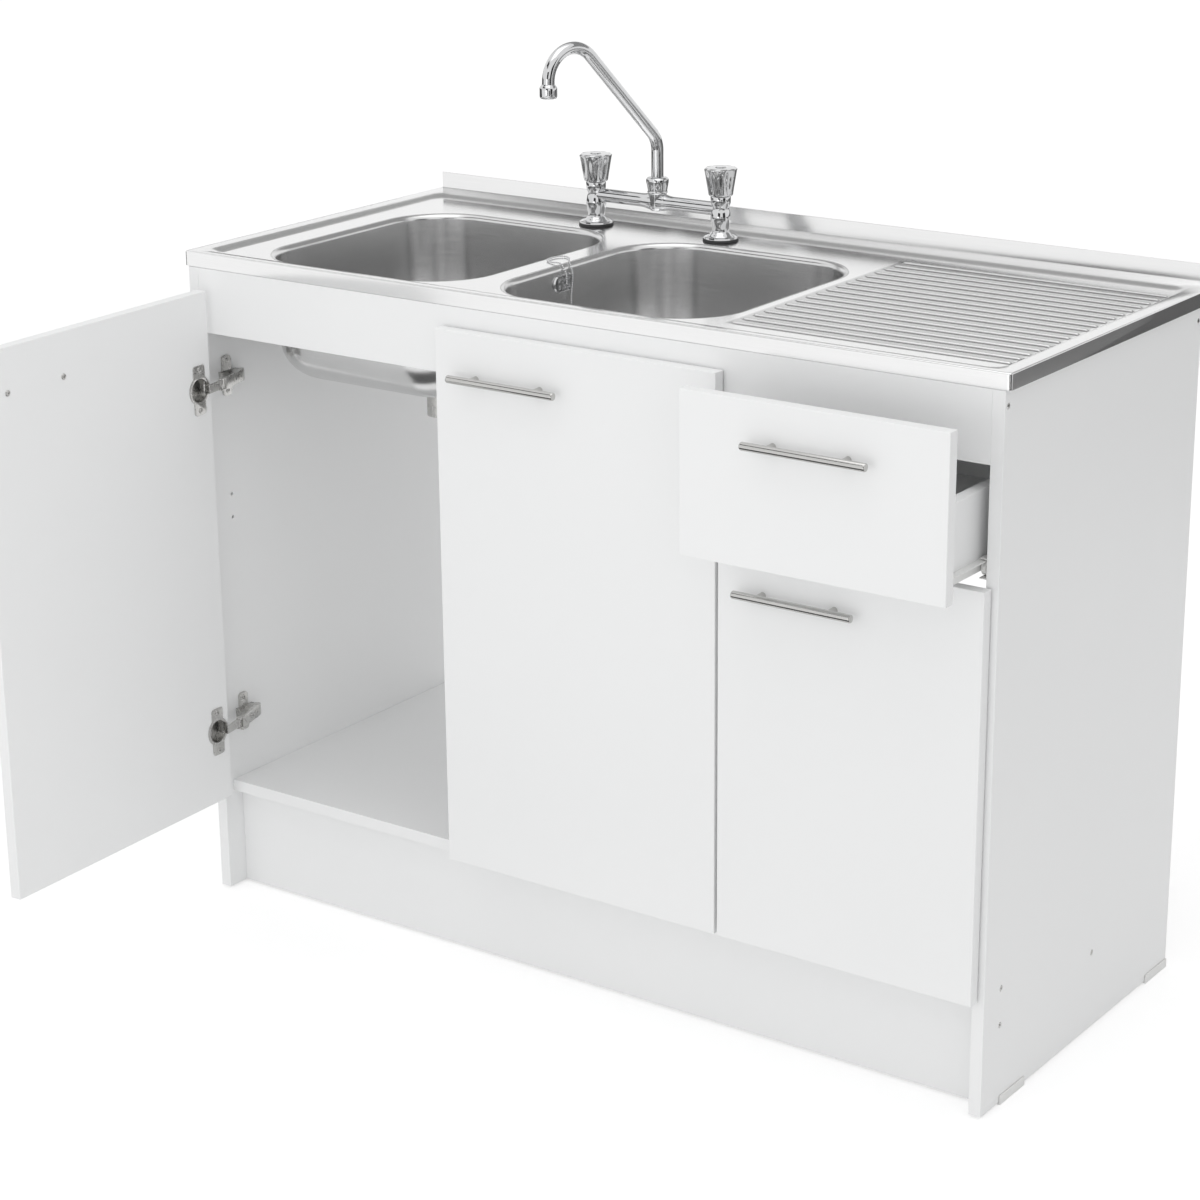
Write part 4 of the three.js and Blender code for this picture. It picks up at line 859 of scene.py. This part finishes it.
# %% Spout
SPOUT_HEADING, SPOUT_RADIUS = -105, 8
BEND_CENTRE, BEND_RADIUS = (35, 109.6), 35
CROWN_CENTRE, CROWN_RADIUS, SLOPE = (142, 216.4), 40, 47
SPOUT_FOOT, BEND_START, OUTLET = 60.2, 85, 206  # heights on the way
BEND_STEPS, CROWN_STEPS, TUBE_POINTS = 8, 24, 40
COLLAR = [(0, 214.6), (7.8, 214.6), (8.6, 214.2), (9.6, 212.4), (10.9, 210.8)]
COLLAR += [(11.2, 209.6), (11.2, 199.2), (10.9, 198.2), (10.2, 197.4), (10, 196.6)]
COLLAR += [(9.2, 196.5), (8.9, 197.2), (8.6, 200), (0, 200)]


def on_arc(centre, radius, angle):
    """[reach, height, heading] at a place on one of the spout's two arcs."""
    u = centre[0] + radius * math.cos(math.radians(angle))
    z = centre[1] + radius * math.sin(math.radians(angle))
    return u, z, angle - 90


def spout_path():
    """[reach, height, heading of the tube in degrees above the level] along the tube."""
    path = [(0, SPOUT_FOOT, 90), (0, BEND_START, 90)]
    for step in range(BEND_STEPS + 1):
        angle = 180 + (90 + SLOPE - 180) * step / BEND_STEPS
        path.append(on_arc(BEND_CENTRE, BEND_RADIUS, angle))
    for step in range(CROWN_STEPS + 1):
        angle = (90 + SLOPE) * (1 - step / CROWN_STEPS)
        path.append(on_arc(CROWN_CENTRE, CROWN_RADIUS, angle))
    return path + [(CROWN_CENTRE[0] + CROWN_RADIUS, OUTLET, -90)]


def spout():
    mesh = bmesh.new()
    loops = []
    for u, z, heading in spout_path():
        ring = circle(mesh, TUBE_POINTS, SPOUT_RADIUS)
        turn = Matrix.Rotation(math.radians(90 - heading), 4, "Y")
        place = Matrix.Translation(Vector((u, 0, z)) * MM)
        bmesh.ops.transform(mesh, matrix=place @ turn, verts=ring)
        loops.append(edges_of(ring))
    for first, second in zip(loops, loops[1:]):
        bmesh.ops.bridge_loops(mesh, edges=first + second)
    cap_ends(mesh, loops)
    turned(mesh, COLLAR, Vector((CROWN_CENTRE[0] + CROWN_RADIUS, 0, 0)) * MM)
    swing = Matrix.Rotation(math.radians(SPOUT_HEADING), 4, "Z")
    bmesh.ops.transform(mesh, matrix=Matrix.Translation(TAP * MM) @ swing, verts=mesh.verts)
    return mesh


closed_piece(spout(), "swan_neck", "spout", "polished_chrome", chrome, ["spout"])
print("spout reaches", CROWN_CENTRE[0] + CROWN_RADIUS, "mm")

# %% [markdown]
# ## Where the fronts stand
# Handles and screws are placed on the fronts, and the left door stands open. So each
# front has a small frame of its own: u runs along its width from the hinged edge, v into
# the cupboard, and z up. One function turns those into places in the room.

# %% Frames of the fronts
OPEN = math.radians(88)
SINE, COSINE = math.sin(OPEN), math.cos(OPEN)
# origin, direction of u, direction of v
FRAMES = {
    "left_door": ((-552.49, -284.67), (COSINE, -SINE), (SINE, COSINE)),
    "middle_door": ((234, -272), (-1, 0), (0, 1)),
    "right_door": ((586, -272), (-1, 0), (0, 1)),
    "drawer": ((239, -354), (1, 0), (0, 1)),
    "left_side": ((-586, -272), (1, 0), (0, 1)),
}


def aim(frame_name, du, dv):
    _, u, v = FRAMES[frame_name]
    return Vector((u[0] * du + v[0] * dv, u[1] * du + v[1] * dv, 0))


def spot(frame_name, du, dv, z):
    origin = FRAMES[frame_name][0]
    return (Vector((*origin, z)) + aim(frame_name, du, dv)) * MM


# %% [markdown]
# ## Bar handles
# Each front has a round bar on two posts. The bar is turned with softly rounded ends, the
# posts stand between it and the door, and all three are one piece, since they are welded.

# %% Handles
HANDLE_HALF, POST_HALF, BAR_RADIUS, POST_RADIUS = 80, 48, 5, 4
FRONT_THICK, STANDOFF = 16, 16
BAR_STEPS, POST_STEPS = 32, 24
HANDLES = {  # front: place along it, height, CAD node
    "left_door": (316, 794, "left_door_handle"),
    "middle_door": (298, 794, "middle_door_handle"),
    "right_door": (238, 595, "right_door_handle"),
    "drawer": (172, 801, "drawer_handle"),
}


def bar_handle(front, u, z):
    mesh = bmesh.new()
    half, r = HANDLE_HALF, BAR_RADIUS
    bar = [(0, -half), (r - 1.6, -half), (r - 0.6, -half + 0.4), (r - 0.1, -half + 1.2)]
    bar += [(r, -half + 2.2), (r, half - 2.2), (r - 0.1, half - 1.2), (r - 0.6, half - 0.4)]
    bar += [(r - 1.6, half), (0, half)]
    away = FRONT_THICK + STANDOFF
    turned(mesh, bar, spot(front, u, -away, z), along=aim(front, 1, 0), steps=BAR_STEPS)
    post = [(0, 0), (POST_RADIUS + 0.4, 0), (POST_RADIUS + 0.2, 0.8), (POST_RADIUS, 1.6)]
    post += [(POST_RADIUS, STANDOFF), (0, STANDOFF)]
    for side in (-1, 1):
        at = spot(front, u + side * POST_HALF, -FRONT_THICK, z)
        turned(mesh, post, at, along=aim(front, 0, -1), steps=POST_STEPS)
    return mesh


for front, (u, z, node) in HANDLES.items():
    mesh, body = bar_handle(front, u, z), body_of(node)
    closed_piece(mesh, f"{front}_bar", body, "satin_nickel", nickel, [node])
print("four handles")

# %% [markdown]
# ## Screws
# Nothing says "real cabinet" like its screws. One head is turned as a low dome. Its cap is
# inset, every fourth point is left where it is while those between are drawn in, and the
# cross that this leaves is pushed down.

# %% A screw head
HEAD_STEPS, CROSS_BORDER, CROSS_DEPTH = 16, 0.06, 1.1
CROSS_REACH = (1, 0.62, 0.3, 0.62)  # how far out each point of a quarter turn stays


def screw(mesh, place, along, radius, rise, turn):
    dome = [(radius, 0), (radius, rise * 0.35), (radius * 0.92, rise * 0.7)]
    dome += [(radius * 0.78, rise * 0.92), (radius * 0.62, rise)]
    made = turned(mesh, dome, Vector(), steps=HEAD_STEPS)
    top = [v for v in made if v.co.z > (rise - 0.01) * MM]
    rim = list({e for v in top for e in v.link_edges if all(w in top for w in e.verts)})
    cap = bmesh.ops.contextual_create(mesh, geom=rim)["faces"]
    bmesh.ops.inset_region(mesh, faces=cap, thickness=radius * CROSS_BORDER * MM)
    for vert in cap[0].verts:
        turned_by = math.atan2(vert.co.y, vert.co.x) / math.tau
        vert.co.xy *= CROSS_REACH[round(turned_by * HEAD_STEPS) % 4]
    floor = bmesh.ops.extrude_face_region(mesh, geom=cap)["geom"]
    deep = [item for item in floor if isinstance(item, bmesh.types.BMVert)]
    bmesh.ops.delete(mesh, geom=cap, context="FACES_ONLY")
    bmesh.ops.translate(mesh, verts=deep, vec=(0, 0, -CROSS_DEPTH * MM))
    fresh = {v for v in mesh.verts if v.co.length < radius * 1.6 * MM}
    spin = Matrix.Rotation(turn, 4, "Z")
    tilt = Vector((0, 0, 1)).rotation_difference(Vector(along)).to_matrix().to_4x4()
    matrix = Matrix.Translation(place) @ tilt @ spin
    bmesh.ops.transform(mesh, matrix=matrix, verts=list(fresh))


def screws(name, body, spots, radius, rise):
    """One piece made of several screw heads, each a (place, direction)."""
    mesh = bmesh.new()
    for count, (place, along) in enumerate(spots):
        screw(mesh, place, along, radius, rise, turn=0.7 * count + 0.3)
    return closed_piece(mesh, name, body, "satin_nickel", plated, sharp=40)


# %% [markdown]
# ## Where the screws are
# The side panels are screwed to the rails and the bottom, with the heads just sunk. The
# handles are held by screws from inside each front. Each hinge has two screws in its cup's
# plate, two in the plate on the panel, and two adjusters on the arm's back.

# %% Screws in panels and fronts
SIDE_SCREWS = [(-262, 857), (222, 857), (-229, 153), (-229, 106), (9, 106)]  # y, z
SIDE_FACE = 592.5
for side, name in SIDES:
    out = Vector((side, 0, 0))
    heads = [(Vector((side * SIDE_FACE, y, z)) * MM, out) for y, z in SIDE_SCREWS]
    screws(f"{name}_panel_screws", "carcass", heads, 3.5, 1.3)
for front, (u, z, node) in HANDLES.items():
    inward = aim(front, 0, 1)
    heads = [(spot(front, u + way * POST_HALF, 0, z), inward) for way in (-1, 1)]
    screws(f"{front}_handle_screws", body_of(node), heads, 3.9, 1.6)

# %% Screws in hinges
HINGES = {  # how far the door lies over the panel, heights of its two hinges
    "left_door": (8, (723, 251)),
    "middle_door": (6, (723, 251)),
    "right_door": (8, (524, 251)),
}
CUP_SETBACK, CUP_PLATE, CUP_SCREW = 22.5, 1.2, 27
PLATE_BACK, PLATE_THICK, PLATE_SCREW = 44.5, 2.5, 20.5
# the arm's back slopes from (overlay + ARM_RISE, ARM_BACK) to the pivot, ARM_RUN nearer
ARM_RISE, ARM_BACK, ARM_RUN, PIVOT = 18, 58.3, 36, 36
ADJUSTERS, ARM_NORMAL = (0.22, 0.6), (0.96, 0.27)
for door in DOORS:
    fixed = "left_side" if door == "left_door" else door
    overlay, heights = HINGES[door]
    cups, plates = [], []
    for height in heights:
        for way in (-1, 1):
            at = spot(door, CUP_SETBACK, CUP_PLATE, height + CUP_SCREW * way)
            cups.append((at, aim(door, 0, 1)))
            at = spot(fixed, overlay + PLATE_THICK, PLATE_BACK, height + PLATE_SCREW * way)
            plates.append((at, aim(fixed, 1, 0)))
        for share in ADJUSTERS:
            u = overlay + ARM_RISE + (PIVOT - overlay - ARM_RISE) * share
            v = ARM_BACK - ARM_RUN * share
            plates.append((spot(fixed, u, v, height), aim(fixed, *ARM_NORMAL)))
    screws(f"{door}_cup_screws", door, cups, 3.6, 1.2)
    screws(f"{door}_plate_screws", "carcass", plates, 3.3, 1.2)
print("screws in panels, fronts and hinges")

# %% [markdown]
# ## The plug and its chain
# A ball chain starts at the overflow's plate, lies in a loop on the steel between the bowls
# and drops to the plug. A tube would do from afar, but a ball chain is small balls on a
# wire, so the balls are set out along the same path, one pitch apart.

# %% Plug
PLUG_PROFILE = [(0, 0), (18.4, 0), (19.2, 0.4), (19.8, 3), (20.9, 8.6), (21.4, 9.2)]
PLUG_PROFILE += [(22, 9.9), (22, 12), (21.4, 13), (16, 13.1), (14, 12.3), (6.5, 12.3)]
PLUG_PROFILE += [(5, 13.2), (3.6, 15.2), (2, 15.9), (0, 16)]
plug_low, plug_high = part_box("plug")
plug_middle = (plug_low + plug_high) / 2
plug_mesh = bmesh.new()
plug_foot = Vector((plug_middle.x, plug_middle.y, plug_low.z))
turned(plug_mesh, PLUG_PROFILE, plug_foot)
plug = closed_piece(plug_mesh, "rubber_plug", "carcass", "black_rubber", rubber, ["plug"])

# %% Chain
CHAIN_PATH = [
    (-136.71, -66, 869), (-137.18, -65, 878), (-141.96, -64, 887), (-149, -63, 892.9),
    (-163, -62, 892.5), (-176, -53, 892.5), (-179, -37, 892.5), (-174, -24, 892.5),
    (-163, -26, 892.5), (-153, -38, 892.5), (-148, -45, 892.8), (-141.96, -49, 887),
    (-137.18, -52, 878), (-136.63, -54, 865), (-137.76, -55, 846), (-137.08, -53, 811),
    (-130.34, -48, 773), (-79, -40, 758.3), (-67, -40, 749.3),
]
BALL_RADIUS, BALL_PITCH, WIRE_RADIUS, WIRE_SIDES = 1.2, 2.9, 0.45, 8
WIRE_STRIDE = 3  # a straight bit of wire spans so many points of the path
route = [point * MM for point in through(CHAIN_PATH, 12)]
chain_mesh = bmesh.new()
walked, next_ball = 0.0, 0.0
for here, ahead in zip(route, route[1:]):
    leg = (ahead - here).length
    while next_ball <= walked + leg:
        place = Matrix.Translation(here.lerp(ahead, (next_ball - walked) / leg))
        bmesh.ops.create_icosphere(
            chain_mesh, subdivisions=2, radius=BALL_RADIUS * MM, matrix=place
        )
        next_ball += BALL_PITCH * MM
    walked += leg
for here, ahead in zip(route[::WIRE_STRIDE], route[WIRE_STRIDE::WIRE_STRIDE]):
    aimed = (ahead - here).to_track_quat("Z", "Y").to_matrix().to_4x4()
    place = Matrix.Translation((here + ahead) / 2) @ aimed
    bmesh.ops.create_cone(
        chain_mesh, cap_ends=True, segments=WIRE_SIDES, radius1=WIRE_RADIUS * MM,
        radius2=WIRE_RADIUS * MM, depth=(ahead - here).length, matrix=place,
    )
chain = closed_piece(
    chain_mesh, "ball_chain", "carcass", "polished_chrome", chrome, ["plug_chain"]
)
print("chain of", round(walked / MM), "mm")

# %% [markdown]
# ## The studio
# The picture is a cut-out on white, so the floor is nearly white and lit to just under
# clipping, and the world is white wherever the camera, a mirror or glass sees it. Plain
# soft light from the world and a few big lamps shows colours about as they are written.

# %% Floor and world
FLOOR_HALF = 30
FLOOR_GLOW, GLOW_STRENGTH = 0.45, 1.3  # how much the seen floor glows, and how brightly
WORLD_LIGHT = 0.84  # for rays that only light the object
floor_mesh = bmesh.new()
bmesh.ops.create_grid(floor_mesh, x_segments=1, y_segments=1, size=FLOOR_HALF)
floor_data = bpy.data.meshes.new("floor")
floor_mesh.to_mesh(floor_data)
floor_mesh.free()
floor = bpy.data.objects.new("floor", floor_data)
bpy.context.scene.collection.objects.link(floor)
ground = Finish("pale_floor", roughness=0.9, metallic=0.0)
ground.set(base_color=ground.mix(ground.noise(3.0), (0.95, 0.95, 0.95), (0.96, 0.96, 0.96)))
white = {"Color": (1, 1, 1, 1), "Strength": GLOW_STRENGTH}
glow = ground.node("ShaderNodeEmission", None, white)
matt = Value(ground, ground.shader.outputs[0])
blend = {0: ground.seen() * FLOOR_GLOW, 1: matt, 2: glow}
lit = ground.node("ShaderNodeMixShader", None, blend)
ground.plug(ground.tree.nodes["Material Output"].inputs["Surface"], lit)
dress(floor, ground)

world = bpy.data.worlds.new("studio")
world.use_nodes = True
bpy.context.scene.world = world
sky = Graph(world.node_tree)
light = {"Value": sky.seen(), "To Min": WORLD_LIGHT, "To Max": 1.0}
plain = sky.tree.nodes["Background"].inputs
sky.plug(plain["Color"], (1, 1, 1, 1))
sky.plug(plain["Strength"], sky.node("ShaderNodeMapRange", None, light))
bpy.context.scene.view_settings.view_transform = "Standard"
print("floor and world are white where they are seen")

# %% Lamps
LAMP_AIM = Vector((0, 0, 0.6))
LAMPS = {  # place, size, watts
    "key": ((0.2, -5.2, 2.0), 3.0, 3),
    "top": ((0.2, -0.6, 4.2), 3.0, 22),
    "inner": ((0.3, -2.6, 0.7), 1.0, 5),
}
for name, (place, size, watts) in LAMPS.items():
    light = bpy.data.lights.new(name, "AREA")
    light.size, light.energy = size, watts
    lamp = bpy.data.objects.new(name, light)
    lamp.location = place
    lamp.rotation_euler = (LAMP_AIM - lamp.location).to_track_quat("-Z", "Y").to_euler()
    bpy.context.scene.collection.objects.link(lamp)
print("lamps:", ", ".join(LAMPS))

# %% [markdown]
# ## Cards for the chrome
# A mirror in an all-white room looks like white plastic. Photographers stand grey and black
# cards round chrome to draw its edges. These cards are seen only by glossy rays: they
# neither show to the camera nor shade the object. One card does the opposite: only the
# rays that light matt faces meet it, and it takes some light off the right-hand end.

# %% Cards
CARDS = {  # place, width, height, how it is turned about Z, grey
    "front_card": ((0.75, -2.9, 1.0), 1.6, 2.3, 0, 0.04),
    "lens_card": ((2.0, -1.9, 0.55), 0.8, 1.1, 42, 0.1),
    "side_card": ((2.7, -0.7, 0.9), 1.6, 2.2, 80, 0.04),
    "rear_card": ((0.2, 2.3, 0.48), 5.6, 1.0, 0, 0.2),
    "right_card": ((2.6, 1.6, 0.45), 2.0, 0.9, -75, 0.45),
    "left_card": ((-2.4, 0.5, 0.55), 3.6, 1.1, 90, 0.1),
    "high_card": ((-1.8, -2.1, 3.2), 2.2, 1.1, -40, 0.05),
}


def card(name, place, width, height, turn, grey, flat=False):
    mesh = bmesh.new()
    bmesh.ops.create_grid(mesh, x_segments=1, y_segments=1, size=0.5)
    bmesh.ops.scale(mesh, vec=(width, height, 1), verts=mesh.verts)
    stand = Matrix() if flat else Matrix.Rotation(math.radians(90), 4, "X")
    at = Matrix.Translation(place) @ Matrix.Rotation(math.radians(turn), 4, "Z") @ stand
    bmesh.ops.transform(mesh, matrix=at, verts=mesh.verts)
    data = bpy.data.meshes.new(name)
    mesh.to_mesh(data)
    mesh.free()
    made = bpy.data.objects.new(name, data)
    bpy.context.scene.collection.objects.link(made)
    dress(made, Finish(name + "_paint", roughness=1.0, base_color=(grey, grey, grey, 1)))
    made.visible_camera = made.visible_diffuse = made.visible_shadow = False
    return made


for name, (place, width, height, turn, grey) in CARDS.items():
    card(name, place, width, height, turn, grey)
card("ceiling_card", (0, 2.75, 3.0), 9.0, 3.1, 0, 0.42, flat=True)
card("low_card", (0, -1.05, 0.01), 3.2, 1.0, 0, 0.1, flat=True)
shade = card("shade_card", (3.2, 0.1, 0.9), 1.7, 1.5, 90, 0.1)
shade.visible_diffuse, shade.visible_glossy = True, False
print(len(CARDS) + 3, "cards")
